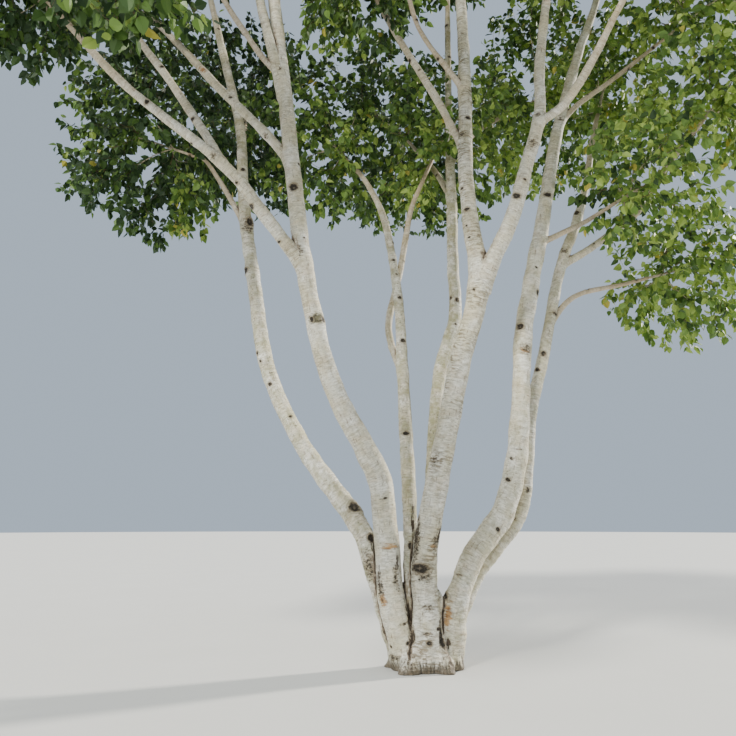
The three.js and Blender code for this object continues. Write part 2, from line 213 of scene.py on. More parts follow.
# Stems and boughs: name, the mass past the tip, its spread and how much it hangs, and then stations
# (x, y, z, girth) along the middle in millimetres, girth being the width across the limb.
STEMS = (
    ("stem_left", "foliage_left_top", 1.05, 1.0, (-105, -30, -60, 240), (-138, -38, 110, 200),
     (-219, -60, 440, 176), (-264, -90, 970, 163), (-306, -110, 1252, 160), (-400, -120, 1435, 154),
     (-658, -160, 1975, 134), (-844, -200, 2820, 121), (-985, -150, 3934, 111), (-1125, -60, 5006, 96),
     (-1240, 40, 5900, 74), (-1330, 160, 7250, 32)),
    ("stem_mid_right", "foliage_top", 0.95, 1.0, (0, -80, -60, 235), (2, -88, 110, 200),
     (5, -100, 380, 185), (-5, -100, 630, 167), (47, -120, 1003, 162), (168, -150, 1584, 152),
     (263, -170, 2044, 149), (400, -205, 2580, 145), (363, -170, 3115, 113), (348, -120, 3558, 110),
     (370, -50, 4179, 103), (376, 70, 5016, 84), (310, 230, 6600, 52), (250, 290, 8000, 26)),
    ("stem_right", "foliage_right_top", 1.05, 1.4, (148, -10, -60, 205), (178, -18, 110, 170),
     (203, -30, 306, 156), (250, -20, 514, 152), (333, 0, 706, 160), (559, 60, 1005, 168),
     (660, 70, 1297, 156), (737, 110, 1828, 132), (775, 150, 2265, 131), (858, 190, 2683, 130),
     (1012, 260, 3336, 110), (1160, 330, 4027, 94), (1393, 390, 4801, 76), (1570, 430, 5274, 61),
     (1850, 480, 6200, 34)),
    ("stem_far_left", "foliage_far_left_top", 1.0, 1.5, (-130, 40, -60, 185), (-176, 34, 110, 150),
     (-263, 20, 362, 128), (-324, 5, 585, 120), (-414, 20, 875, 136), (-542, 80, 1068, 149),
     (-836, 150, 1468, 124), (-1126, 230, 2053, 113), (-1252, 310, 2673, 108), (-1390, 410, 3520, 94),
     (-1462, 500, 4204, 80), (-1646, 600, 4945, 68), (-2000, 760, 6350, 30)),
    ("stem_centre", "foliage_rear_left_low", 0.95, 1.0, (-60, 10, -60, 140), (-66, 6, 110, 118),
     (-89, -10, 420, 111), (-84, -20, 825, 101), (-89, 30, 1105, 104), (-98, 130, 1431, 103),
     (-112, 300, 2026, 92), (-133, 420, 2614, 78), (-189, 560, 3137, 66), (-252, 640, 3480, 58),
     (-420, 900, 3950, 44), (-620, 1150, 4300, 30)),
    ("stem_rear", "foliage_rear_top", 1.05, 1.65, (30, 120, -60, 130), (38, 138, 110, 108),
     (70, 220, 800, 95), (115, 300, 1624, 93), (201, 450, 2177, 106), (325, 560, 2565, 105),
     (331, 660, 3043, 93), (348, 790, 3702, 87), (358, 930, 4439, 73), (400, 1150, 6000, 44),
     (410, 1200, 6600, 30)),
    ("stem_right_rear", "foliage_right_rear", 0.95, 1.0, (165, 60, -60, 120), (200, 74, 110, 104),
     (250, 90, 300, 97), (385, 120, 586, 97), (545, 150, 790, 104), (700, 170, 992, 107),
     (777, 200, 1320, 96), (830, 260, 1709, 90), (968, 340, 2185, 89), (1185, 480, 2987, 85),
     (1335, 540, 3339, 80), (1456, 600, 3697, 63), (1600, 750, 4250, 48), (1780, 1020, 4750, 30)),
)
BOUGHS = (
    ("bough_left", "foliage_left", 0.9, 1.0, (-857, -200, 2760, 104), (-1108, -310, 3070, 87),
     (-1284, -400, 3293, 84), (-1481, -500, 3461, 70), (-1777, -600, 3669, 62), (-2075, -720, 3891, 54),
     (-2511, -900, 4346, 36)),
    ("bough_left_upper", "foliage_left_upper", 0.9, 1.25, (-1400, -460, 3420, 62), (-1555, -430, 3676, 63),
     (-1824, -380, 4093, 58), (-2147, -330, 4573, 48), (-2330, -260, 5050, 32)),
    ("bough_left_high", "foliage_left_rear", 0.95, 1.2, (-945, -160, 3540, 74), (-1115, -130, 3772, 71),
     (-1543, -40, 4254, 66), (-1854, 40, 4641, 56), (-2030, 90, 4848, 49), (-2420, 560, 5400, 28)),
    ("bough_left_twin", "foliage_left_inner", 1.0, 1.35, (-1030, -128, 4100, 74), (-1099, -150, 4413, 77),
     (-1147, -170, 4614, 77), (-1215, -190, 4904, 72), (-1420, -330, 6000, 34)),
    ("bough_front_left", "foliage_front_left", 1.05, 1.0, (-1120, -155, 4350, 46), (-1194, -150, 4443, 46),
     (-1344, -200, 4652, 44), (-1453, -260, 4805, 42), (-1650, -700, 5050, 36), (-1800, -1200, 5200, 26)),
    ("bough_front_left_low", "foliage_front_left_low", 0.9, 1.2, (-1640, -670, 5030, 34),
     (-1600, -1500, 4950, 32), (-1500, -2200, 4600, 26), (-1450, -2500, 4150, 20)),
    ("bough_far_left", "foliage_far_left_low", 0.9, 1.15, (-1310, 370, 3080, 48), (-1379, 390, 3294, 48),
     (-1489, 420, 3507, 45), (-1620, 460, 3730, 38), (-1760, 505, 3930, 31), (-1900, 550, 4000, 24)),
    ("bough_rear_left", "foliage_rear_left", 1.15, 1.1, (-1428, 460, 3863, 54), (-1500, 900, 4300, 46),
     (-1600, 1500, 4800, 36), (-1650, 1800, 5000, 28)),
    ("bough_centre", "foliage_rear_low", 0.9, 1.0, (-113, 320, 2050, 56), (-200, 440, 2330, 57),
     (-214, 510, 2500, 56), (-160, 565, 2780, 54), (-119, 580, 2952, 53), (-55, 610, 3321, 48),
     (-10, 660, 3556, 42), (200, 980, 4150, 26)),
    ("bough_rear", "foliage_rear", 1.05, 1.3, (348, 790, 3702, 56), (250, 1100, 4100, 50),
     (100, 1600, 4600, 38), (50, 1900, 4850, 28)),
    ("bough_rear_right", "foliage_rear_right", 1.05, 1.15, (354, 860, 4068, 54), (600, 1150, 4500, 46),
     (950, 1500, 4900, 36), (1150, 1700, 5100, 26)),
    ("bough_mid_right", "foliage_mid_right", 1.05, 1.45, (410, -205, 2560, 130), (518, -260, 2790, 114),
     (651, -330, 3092, 106), (753, -390, 3458, 99), (840, -420, 3770, 88), (863, -410, 4154, 76),
     (950, -380, 4755, 60), (1100, -480, 5600, 34)),
    ("bough_front_right", "foliage_front_right", 1.05, 1.1, (830, -418, 3730, 66), (914, -460, 3767, 61),
     (1006, -500, 3836, 62), (1175, -600, 4082, 56), (1345, -700, 4409, 45), (1750, -1000, 5100, 26)),
    ("bough_front_low", "foliage_front_low", 1.02, 1.0, (943, -382, 4700, 46), (950, -900, 5000, 38),
     (900, -1500, 5050, 30), (850, -1900, 4950, 24)),
    ("bough_mid_left", "foliage_mid_left", 0.95, 1.4, (352, -110, 3660, 56), (238, -80, 3933, 54),
     (145, -60, 4147, 60), (-71, 0, 4586, 54), (-282, 60, 5045, 41), (-380, 100, 5350, 28)),
    ("bough_front", "foliage_front", 1.1, 1.0, (368, -55, 4200, 48), (256, -70, 4364, 46),
     (78, -120, 4589, 39), (-15, -150, 4768, 36), (-200, -700, 5200, 32), (-280, -1250, 5400, 26)),
    ("bough_top_front", "foliage_top_front", 1.1, 1.0, (345, 150, 5780, 48), (300, -300, 6300, 36),
     (250, -700, 6650, 24)),
    ("bough_top_right", "foliage_top_right", 1.05, 1.0, (310, 230, 6560, 40), (700, 200, 7100, 32),
     (950, 150, 7400, 22)),
    ("bough_right_upper", "foliage_right_upper", 0.95, 1.0, (1195, 345, 4150, 48), (1345, 340, 4320, 46),
     (1654, 330, 4554, 40), (2150, 290, 4950, 26)),
    ("bough_right_inner", "foliage_right_inner", 0.75, 1.0, (985, 250, 3090, 48), (1138, 230, 3161, 46),
     (1301, 210, 3236, 39), (1550, 150, 3380, 26)),
    ("bough_right", "foliage_right", 0.95, 1.0, (1200, 488, 2990, 64), (1408, 470, 3112, 64),
     (1643, 410, 3277, 54), (1786, 380, 3385, 49), (1985, 330, 3691, 48), (2350, 250, 4150, 28)),
    ("bough_right_low", "foliage_right_low", 0.8, 1.0, (1060, 405, 2480, 50), (1197, 440, 2655, 44),
     (1322, 470, 2739, 40), (1718, 550, 2849, 33), (1929, 600, 2917, 24)),
)

# Colours of the bark and twigs.
CREAM = (0.76, 0.70, 0.53)
PALE = (0.93, 0.91, 0.83)
TAN = (0.62, 0.48, 0.32)
LINE = (0.24, 0.19, 0.12)
GREY = (0.46, 0.44, 0.35)
PORE = (0.24, 0.17, 0.11)
ALGAE_GREEN = (0.32, 0.305, 0.15)
SPECK = (0.13, 0.13, 0.08)
YOUNG = (0.48, 0.34, 0.21)
PEEL = (0.30, 0.14, 0.045)
RUST = (0.50, 0.29, 0.11)
OLIVE = (0.125, 0.11, 0.05)
SCAR = (0.24, 0.18, 0.11)
DARK = (0.035, 0.028, 0.02)
# Crotch colours: painted shade over darker crotch bark where limbs meet, near-black where deepest and in the
# cracks; the rugged brown also shows in random streaks.
CROTCH_SHADE_AND_CRACKS = (0.085, 0.062, 0.042)
RUGGED_BARK_AND_CROTCH_SHADE = (0.30, 0.235, 0.17)
SOILED = (0.115, 0.085, 0.056)
BRANCH = (0.62, 0.52, 0.38)
TWIG = (0.20, 0.12, 0.07)
TWIG_SHADE = 0.55
TWIG_PORES = 0.5
FLOOR_PALE = (0.66, 0.65, 0.63)
FLOOR_GREY = (0.62, 0.61, 0.58)

# Patterns in the bark: how its grain is stretched, then the noise's scale, detail and roughness.
PATTERNS = {
    "rough": ((1, 1, 1.8), 42, 4, 0.7),
    "broad": ((1, 1, 0.5), 9, 3, 0.55),
    "blush": ((1, 1, 3.2), 6, 4, 0.55),
    "mottle": ((1, 1, 1.6), 26, 5, 0.7),
    "patch": ((1, 1, 1), 5, 3, 0.55),
    "moss": ((1, 1, 1), 13, 5, 0.65),
    "speck": ((1, 1, 1), 62, 3, 0.55),
    "wave": ((15, 15, 78), 1, 5, 0.65),
    "dash": ((15, 15, 72), 1, 4, 0.6),
    "fine": ((30, 30, 230), 1, 3, 0.6),
    "pore": ((30, 30, 110), 1, 2, 0.5),
    "streak": ((75, 75, 15), 1, 5, 0.7),
}

# Where a pattern or field begins to show, and where it is full.
SHOWN = {
    "broad": (0.38, 0.62),
    "patch": (0.42, 0.6),
    "wave": (0.53, 0.62),
    "dash": (0.53, 0.585),
    "curl": (0.42, 0.58),
    "in_knot": (0.05, 0.3),
    "near_eye": (-0.9, 0.0),
    "ring": (0.12, 0.34),
    "heart": (0.72, 0.95),
    "crotch": (0.66, 0.85),
    "crack": (0.42, 0.6),
    "earth": (0.5, 0.62),
    "twig_mottle": (0.4, 0.65),
    "twig_pores": (0.62, 0.7),
}

# Coats over the bark's cream: where each begins to show and is full, its strength and its colour.
COATS = {
    "blush": (0.48, 0.68, 0.42, TAN),
    "mottle": (0.46, 0.60, 0.45, GREY),
    "line": (0, 1, 0.9, LINE),
    "fine": (0.53, 0.64, 0.5, LINE),
    "pore": (0.67, 0.72, 0.8, PORE),
    "moss": (0.40, 0.62, 0.8, ALGAE_GREEN),
    "speck": (0.60, 0.70, 1, SPECK),
    "young": (0, 1, 1, YOUNG),
    "peel": (0, 0.5, 0.9, RUST),
    "knot": (0, 0.3, 0.85, OLIVE),
    "folds": (0, 0.8, 0.85, DARK),
    "rings": (0.45, 0.9, 0.6, LINE),
    "scar": (0.1, 0.5, 0.65, SCAR),
    "fleck": (0.55, 0.95, 0.9, DARK),
    "halo": (-0.3, 0.15, 0.75, SCAR),
    "eye": (0, 1, 1, DARK),
    # Crotches: painted shade over darker bark, near-black where deepest; the rugged brown also shows in
    # random streaks, the near-black also in the cracks.
    "rugged_bark_and_crotch_shade": (0.2, 0.55, 1, RUGGED_BARK_AND_CROTCH_SHADE),
    "split": (0, 1, 1, CROTCH_SHADE_AND_CRACKS),
    "soil": (0.3, 0.8, 0.9, SOILED),
}

# How far the noise frays each mark, how tightly folds and rings lie, and how deep the bump goes.
FRAY = {"edge": 1.3, "peel": 3.6, "knot": 1.7, "scar": 2.4, "fleck": 5.0, "torn": 3.6, "crease": 0.8,
        "soil": 2.1}
FOLD_TURNS = 11.0
FOLD_FRAY = 16.0
RING_TURNS = 17.0
RING_FRAY = 9.0
PATCH_LEAST = 0.4
HEART_PALE = 0.7
CRACK_WEIGHT = 0.75
SOIL_FALL = 8.0
BUMPS = {"fine": 0.3, "line": -0.7, "rough": 0.6, "eye": -1.6, "scar": 0.8, "peel": -0.4, "split": -1.5,
         "rings": -0.5}

# Leaf tints, from the shaded left of the crown to its sunlit right.
TINTS = (
    ("leaves_deep", (0.028, 0.062, 0.019)),
    ("leaves_dark", (0.060, 0.120, 0.028)),
    ("leaves_green", (0.100, 0.185, 0.035)),
    ("leaves_fresh", (0.160, 0.270, 0.050)),
    ("leaves_bright", (0.310, 0.430, 0.085)),
    ("leaves_yellow", (0.480, 0.430, 0.070)),
)

# The stage.
FLOOR_RADIUS = 60
FLOOR_SIDES = 96
FLOOR_GAP = 0.002
SKY = (0.50, 0.60, 0.72)
SKY_STRENGTH = 0.92
LAMPS = (
    ("key_sun", 4.1, 10, (1.0, 0.985, 0.89), (-0.45, -0.8, 0.8)),
    ("low_sun", 6.3, 4, (1.0, 0.96, 0.86), (0.85, 0.42, 0.40)),
)

# How much green-grey algae, and how much fine wrinkling, the bark of a limb has.
ALGAE = {"stem_far_left": 0.75, "stem_centre": 0.8, "stem_rear": 1.0, "stem_right_rear": 0.55,
         "stem_right": 0.45, "bough_centre": 0.8}
PLAIN_ALGAE = 0.22
WRINKLES = {"stem_mid_right": 1.0, "stem_left": 0.45, "stem_right": 0.5}
PLAIN_WRINKLES = 0.55

# Marks that show on a limb, by kind: pixel across and down, width and height in millimetres.
MARKS = {
    "stem_left": {
        "knot": ((319, 320, 150, 85),),
        "eye": ((312, 321, 35, 45), (328, 320, 35, 50), (294, 191, 70, 65), (299, 167, 30, 25),
                (305, 240, 20, 15), (279, 74, 50, 35), (390, 645, 35, 22), (407, 641, 30, 30)),
        "scar": ((299, 254, 80, 120), (278, 85, 40, 50), (385, 498, 70, 20), (404, 622, 100, 30),
                 (381, 587, 70, 160), (396, 578, 50, 200), (392, 655, 120, 60)),
        "peel": ((390, 546, 130, 50), (383, 598, 60, 100)),
        "crack": ((379, 580, 70, 360), (397, 560, 50, 280), (409, 612, 60, 340)),
    },
    "stem_far_left": {
        "eye": ((243, 173, 45, 35), (250, 225, 60, 80), (246, 273, 70, 55), (258, 355, 30, 40),
                (261, 363, 25, 25), (271, 387, 45, 35), (292, 419, 35, 25), (356, 509, 100, 100),
                (371, 540, 50, 60)),
        "scar": ((248, 230, 100, 160), (271, 375, 35, 20), (370, 566, 120, 260)),
        "crack": ((374, 548, 80, 220),),
    },
    "stem_centre": {
        "eye": ((393, 243, 25, 20), (394, 262, 40, 25), (397, 277, 25, 20), (400, 300, 40, 30),
                (403, 343, 50, 40), (406, 436, 55, 35), (410, 545, 30, 50)),
        "crack": ((413, 520, 60, 340),),
    },
    "stem_rear": {
        "eye": ((451, 300, 30, 40), (457, 303, 35, 45), (455, 327, 25, 20)),
    },
    "stem_mid_right": {
        "eye": ((468, 121, 45, 35), (462, 191, 35, 25), (467, 213, 55, 30), (467, 228, 20, 20),
                (470, 240, 25, 20), (474, 292, 25, 20), (420, 568, 140, 70), (429, 641, 45, 35),
                (437, 627, 30, 22), (413, 638, 55, 150), (443, 635, 50, 170)),
        "scar": ((462, 137, 60, 70), (486, 261, 80, 120), (434, 461, 70, 75), (424, 573, 130, 100),
                 (417, 545, 70, 260), (429, 607, 120, 40), (427, 631, 100, 40), (436, 541, 60, 180)),
        "crack": ((489, 285, 40, 160), (417, 532, 90, 440), (441, 538, 50, 300), (443, 630, 50, 240)),
        "peel": ((434, 546, 50, 50),),
    },
    "bough_mid_right": {
        "eye": ((516, 197, 70, 45), (524, 182, 30, 20)),
        "scar": ((532, 146, 70, 110), (537, 117, 70, 50)),
    },
    "stem_right": {
        "scar": ((560, 122, 60, 50), (527, 351, 110, 100), (518, 452, 80, 20), (512, 460, 50, 35),
                 (459, 576, 70, 15)),
        "eye": ((547, 199, 70, 40), (536, 270, 30, 20), (537, 295, 45, 50), (520, 330, 65, 60),
                (508, 481, 45, 35), (497, 531, 35, 35), (446, 598, 60, 55)),
        "peel": ((525, 353, 80, 50), (448, 617, 60, 170)),
        "crack": ((449, 640, 60, 160),),
    },
    "stem_right_rear": {
        "eye": ((543, 356, 50, 50), (537, 371, 50, 40), (555, 316, 60, 30), (576, 215, 50, 50)),
        "scar": ((563, 253, 70, 60), (528, 490, 70, 60), (514, 520, 50, 40)),
    },
    "bough_left": {
        "eye": ((279, 242, 35, 25), (252, 208, 60, 45), (237, 183, 30, 25), (192, 144, 30, 25),
                (147, 102, 45, 35)),
        "scar": ((215, 156, 70, 50),),
    },
    "bough_left_upper": {
        "eye": ((194, 122, 50, 30), (163, 68, 40, 30)),
    },
    "bough_left_high": {
        "scar": ((233, 99, 60, 40), (267, 137, 60, 70), (284, 160, 50, 50)),
        "peel": ((205, 72, 50, 100),),
    },
}

# How strongly each kind of mark stands out from the bark.
MARK_SHARP = {"eye": 1.0, "scar": 0.5, "knot": 0.4, "peel": 0.0, "crack": 0.0}


def unit(vectors):
    """The vectors along the last axis, each made one long."""
    return vectors / np.maximum(np.linalg.norm(vectors, axis=-1, keepdims=True), LEAST_LENGTH)


def ripples(points, seed, waves=11):
    """Smooth seeded noise of about -1 to 1 that changes over about one unit."""
    rng = np.random.default_rng(seed)
    ways = unit(rng.normal(size=(waves, 3))) * rng.uniform(*RIPPLE_PACE, (waves, 1))
    starts = rng.uniform(0, 2 * math.pi, waves)
    return np.sin(points @ ways.T * 2 * math.pi + starts).sum(axis=1) / math.sqrt(waves)


def pixel_of(points):
    """Where points fall in the image, and how far in front of the camera they are."""
    offset = points - CAMERA_AT
    depth = offset[:, 1] * math.cos(CAMERA_TILT) + offset[:, 2] * math.sin(CAMERA_TILT)
    rise = offset[:, 2] * math.cos(CAMERA_TILT) - offset[:, 1] * math.sin(CAMERA_TILT)
    middle = FRAME_PX / 2
    return middle + FOCAL_PX * offset[:, 0] / depth, middle - FOCAL_PX * rise / depth, depth


def smooth_line(stations):
    """A centripetal curve through the stations, with the girth eased between them."""
    at = stations[:, :3]
    ends = np.vstack([2 * at[0] - at[1], at, 2 * at[-1] - at[-2]])
    t = np.linspace(0, 1, SPAN_STEPS, endpoint=False)[:, None]
    line = []
    for p0, p1, p2, p3 in zip(ends, ends[1:], ends[2:], ends[3:]):
        d0, d1, d2 = (math.sqrt(np.linalg.norm(b - a)) for a, b in ((p0, p1), (p1, p2), (p2, p3)))
        m1 = ((p1 - p0) / d0 - (p2 - p0) / (d0 + d1) + (p2 - p1) / d1) * d1
        m2 = ((p2 - p1) / d1 - (p3 - p1) / (d1 + d2) + (p3 - p2) / d2) * d1
        bend = 3 * (p2 - p1) - 2 * m1 - m2
        line.append(p1 + m1 * t + bend * t ** 2 + (2 * (p1 - p2) + m1 + m2) * t ** 3)
    line = np.vstack([*line, at[-1:]])
    girths = stations[:, 3]
    return line, np.interp(np.arange(len(line)) / SPAN_STEPS, np.arange(len(girths)), girths)


class Limb:
    """A stem or bough: rings along its smooth middle, each with a radius and its own directions."""

    def __init__(self, index, stations, name="", foliage="", spread=1, hang=1):
        self.name, self.foliage, self.spread, self.hang = name, foliage, spread, hang
        self.index, self.stations = index, np.array(stations)
        line, girth = smooth_line(self.stations)
        run = np.append(0, np.cumsum(np.linalg.norm(np.diff(line, axis=0), axis=1)))
        step = np.where(line[:, 2] < FINE_TOP, FINE_STEP, COARSE_STEP)
        count = np.append(0, np.cumsum(np.diff(run) / step[1:]))
        rings = np.linspace(0, count[-1], math.ceil(count[-1]) + 1)
        self.run = np.interp(rings, count, run)
        self.at = np.stack([np.interp(self.run, run, line[:, axis]) for axis in range(3)], axis=1)
        eased = [np.interp(self.run + shift, run, girth) for shift in (-GIRTH_EASE, 0, GIRTH_EASE)]
        self.radius = np.mean(eased, axis=0) / 2
        self.radius[-1] = girth[-1] / 2
        self.heading = unit(np.gradient(self.at, self.run, axis=0))
        across = unit(np.cross((0, 1, 0), self.heading[0]))
        turned = []
        for heading in self.heading:
            across = unit(across - heading * (across @ heading))
            turned.append(across)
        self.across = np.array(turned)
        self.face = np.cross(self.across, self.heading)
        self.sides = max(FEWEST_SIDES, 2 * round(math.pi * self.radius.max() / SIDE_WIDTH))
        self.low = (self.at - self.radius[:, None]).min(axis=0)
        self.high = (self.at + self.radius[:, None]).max(axis=0)
        self.algae = ALGAE.get(self.name, PLAIN_ALGAE)
        self.wrinkles = WRINKLES.get(self.name, PLAIN_WRINKLES)
        self.marks = self.seen_marks() + self.hidden_marks()

    def seen_marks(self):
        """The marks of the table that are on this limb, as run along it, angle round it and size."""
        across_px, down_px, depth = pixel_of(self.at)
        up = np.array((0, -math.sin(CAMERA_TILT), math.cos(CAMERA_TILT)))
        found = []
        marks = MARKS.get(self.name, {})
        for kind, px, py, *size in ((kind, *mark) for kind in marks for mark in marks[kind]):
            ring = np.argmin(np.hypot(across_px - px, down_px - py))
            scale = depth[ring] / FOCAL_PX
            aside = np.array((1, 0, 0)) * (px - across_px[ring]) - up * (py - down_px[ring])
            heading = self.heading[ring]
            front = CAMERA_AT - self.at[ring]
            front = unit(front - heading * (front @ heading))
            side = np.cross(heading, front)
            share = np.clip(aside @ side * scale / self.radius[ring], -MARK_EDGE, MARK_EDGE)
            way = front * math.sqrt(1 - share ** 2) + side * share
            angle = math.atan2(way @ self.face[ring], way @ self.across[ring])
            found.append((self.run[ring], angle, *np.array(size) / PER_METRE, kind))
        return found

    def hidden_marks(self):
        """Seeded eyes on the sides that the camera doesn't see, and above its view."""
        rng = np.random.default_rng(EYE_SEED + self.index)
        found = []
        for run in np.arange(EYE_EVERY, self.run[-1], EYE_EVERY):
            place = run + rng.uniform(-EYE_STRAY, EYE_STRAY) * EYE_EVERY
            angle = rng.uniform(-math.pi, math.pi)
            size = rng.uniform(*EYE_SIZES)
            ring = min(np.searchsorted(self.run, place), len(self.run) - 1)
            way = self.across[ring] * math.cos(angle) + self.face[ring] * math.sin(angle)
            near = way @ unit(CAMERA_AT - self.at[ring]) > SEEN_FACING and self.at[ring, 2] < FINE_TOP
            if not (near and self.name in MARKS):
                found.append((place, angle, size, size * EYE_HEIGHT, "eye"))
        return found

    def round_points(self, ring, angle):
        """The directions out of the limb at these rings and angles."""
        return self.across[ring] * np.cos(angle)[:, None] + self.face[ring] * np.sin(angle)[:, None]


def nearest_on(limb, points, last=None, chunk=4000):
    """The limb's nearest place to each point: ring before it, share of the way on, and distance."""
    start, span = limb.at[:-1][:last], np.diff(limb.at, axis=0)[:last]
    length = (span ** 2).sum(axis=1)
    rings, shares, distances = [], [], []
    for first in range(0, len(points), chunk):
        some = points[first:first + chunk]
        along = some @ span.T - (start * span).sum(axis=1)
        share = np.clip(along / length, 0, 1)
        away = (some ** 2).sum(axis=1)[:, None] - 2 * some @ start.T + (start ** 2).sum(axis=1)
        gap = away - 2 * share * along + share ** 2 * length
        ring = gap.argmin(axis=1)
        row = np.arange(len(ring))
        rings.append(ring)
        shares.append(share[row, ring])
        distances.append(np.sqrt(np.maximum(gap[row, ring], 0)))
    return np.concatenate(rings), np.concatenate(shares), np.concatenate(distances)


def between(values, ring, share):
    """A limb's own values at a share of the way from each ring to the next."""
    weight = share if values.ndim == 1 else share[:, None]
    return values[ring] * (1 - weight) + values[ring + 1] * weight


def bark_at(limb, run, angle, radius):
    """The bark at places on a limb: how proud it stands, and the fields that its material reads."""
    grain = np.stack([radius * np.cos(angle), radius * np.sin(angle), run + limb.index * GRAIN_SHIFT], axis=1)
    proud = radius * SWELL * ripples(grain * SWELL_WAVES, limb.index)
    dimples = DIMPLE * ripples(grain * DIMPLE_WAVES, DIMPLE_SEED + limb.index)
    proud += dimples * np.minimum(1, radius / DIMPLE_FULL)
    marks = {kind: np.full(len(run), -1.0) for kind in MARK_SHARP}
    for place, turn, wide, high, kind in limb.marks:
        near = np.flatnonzero(np.abs(run - place) < MARK_REACH * high)
        around = radius[near] * ((angle[near] - turn + math.pi) % (2 * math.pi) - math.pi)
        reach = np.hypot(around * 2 / wide, (run[near] - place) * 2 / high)
        rim = RIM * np.exp(-((reach - RIM_AT) / RIM_WIDTH) ** 2)
        rim -= HOLLOW * np.exp(-(reach / HOLLOW_WIDTH) ** 2)
        proud[near] += rim * min(wide, high) * MARK_SHARP[kind]
        marks[kind][near] = np.maximum(marks[kind][near], 1 - reach)
    young = np.clip((YOUNG_BELOW - radius) / YOUNG_EASE, 0, 1)
    fields = {**marks, "grain": grain, "young": young,
              "algae": np.full(len(run), limb.algae), "wrinkles": np.full(len(run), limb.wrinkles)}
    return proud, fields


def crease_at(limb, limbs, points, outward, radius):
    """How far bark swells where limbs meet, so that forks flow together, and how dark the crotch is: painted
    shade over darker crotch bark.
    """
    swell, crease = np.zeros(len(points)), np.zeros(len(points))
    for other in limbs:
        low, high = other.low - CREASE_LOOK, other.high + CREASE_LOOK
        if other is limb or np.any(low > limb.high) or np.any(limb.low > high):
            continue
        near = np.flatnonzero(np.all((points > low) & (points < high), axis=1))
        if not len(near):
            continue
        ring, share, distance = nearest_on(other, points[near])
        girth = between(other.radius, ring, share)
        reach = CREASE_REACH * np.minimum(girth, radius[near])
        close = np.clip(1 - (distance - girth) / reach, 0, 1)
        facing = (outward[near] * unit(points[near] - between(other.at, ring, share))).sum(axis=1)
        swell[near] = np.maximum(swell[near], close ** 2 * reach * CREASE_SWELL)
        crease[near] = np.maximum(crease[near], close * np.clip(CREASE_FACING - facing, 0, 1))
    return swell, crease


def placed(name, data):
    """A new object in the scene."""
    thing = bpy.data.objects.new(name, data)
    bpy.context.scene.collection.objects.link(thing)
    return thing


def mesh_of(bm, name):
    """What has been modelled, as a mesh."""
    mesh = bpy.data.meshes.new(name)
    bm.to_mesh(mesh)
    bm.free()
    return mesh


def new_piece(name, mesh, material):
    """A finished piece at the origin that rides on the plant's one body."""
    mesh.materials.append(material)
    piece = placed(name, mesh)
    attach(piece, "root")
    return piece


def store_fields(mesh, fields):
    """Keeps the bark's fields on the mesh, for its material to read."""
    for name, values in fields.items():
        kind = "FLOAT_VECTOR" if values.ndim == 2 else "FLOAT"
        attribute = mesh.attributes.new(name, kind, "POINT")
        attribute.data.foreach_set("vector" if values.ndim == 2 else "value", values.ravel())


def rolled_grid(bm, sides, steps):
    """A grid to be rolled into a limb: each corner's ring number and angle."""
    corners = bmesh.ops.create_grid(bm, x_segments=sides, y_segments=steps, size=0.5)["verts"]
    place = np.array([corner.co[:] for corner in corners]) + 0.5
    return np.rint(place[:, 1] * steps).astype(int), np.rint(place[:, 0] * sides) * 2 * math.pi / sides


def close_rolls(mesh):
    """Joins each rolled grid along its seam, caps its ends and faces it outwards."""
    bm = bmesh.new()
    bm.from_mesh(mesh)
    bmesh.ops.remove_doubles(bm, verts=bm.verts, dist=WELD)
    bmesh.ops.holes_fill(bm, edges=[edge for edge in bm.edges if edge.is_boundary], sides=0)
    bmesh.ops.recalc_face_normals(bm, faces=bm.faces)
    for face in bm.faces:
        face.smooth = True
    bm.to_mesh(mesh)
    bm.free()


def limbs_mesh(name, chosen, limbs):
    """Limbs above the melded foot, each a rolled grid with the bark's relief, as one mesh."""
    bm = bmesh.new()
    places, fields = [], []
    for limb in chosen:
        first = 0
        if limb.at[0, 2] < 0:
            first = np.searchsorted(limb.at[:, 2], MELD_HEIGHT - MELD_LAP)
        ring, angle = rolled_grid(bm, limb.sides, len(limb.run) - 1 - first)
        ring += first
        outward = limb.round_points(ring, angle)
        radius = limb.radius[ring]
        proud, bark = bark_at(limb, limb.run[ring], angle, radius)
        swell, crease = crease_at(limb, limbs, limb.at[ring] + outward * radius[:, None], outward, radius)
        if first:
            swell = np.where(limb.at[ring, 2] < MELD_HEIGHT, -MELD_SHY, swell)
        proud = np.where(ring == len(limb.run) - 1, 0, proud + swell)
        places.append(limb.at[ring] + outward * (radius + proud)[:, None])
        fields.append({**bark, "crease": crease})
    mesh = mesh_of(bm, name)
    mesh.vertices.foreach_set("co", np.concatenate(places).ravel())
    store_fields(mesh, {key: np.concatenate([row[key] for row in fields]) for key in fields[0]})
    close_rolls(mesh)
    return mesh


def root_limb(index):
    """A low swelling where a root leaves the foot, as a limb of three stations."""
    angle = ROOTS["turn"] + index * 2 * math.pi / ROOTS["count"]
    middle = (ROOTS["inner"] + ROOTS["reach"]) / 2
    run = ((ROOTS["inner"], ROOTS["rise"], ROOTS["girth"]),
           (middle, ROOTS["rise"] * ROOTS["shoulder"], ROOTS["girth"]),
           (ROOTS["reach"], -BELOW_GROUND, ROOTS["tip"]))
    stations = [(reach * math.cos(angle), reach * math.sin(angle), z, girth) for reach, z, girth in run]
    return Limb(ROOT_INDEX + index, stations)


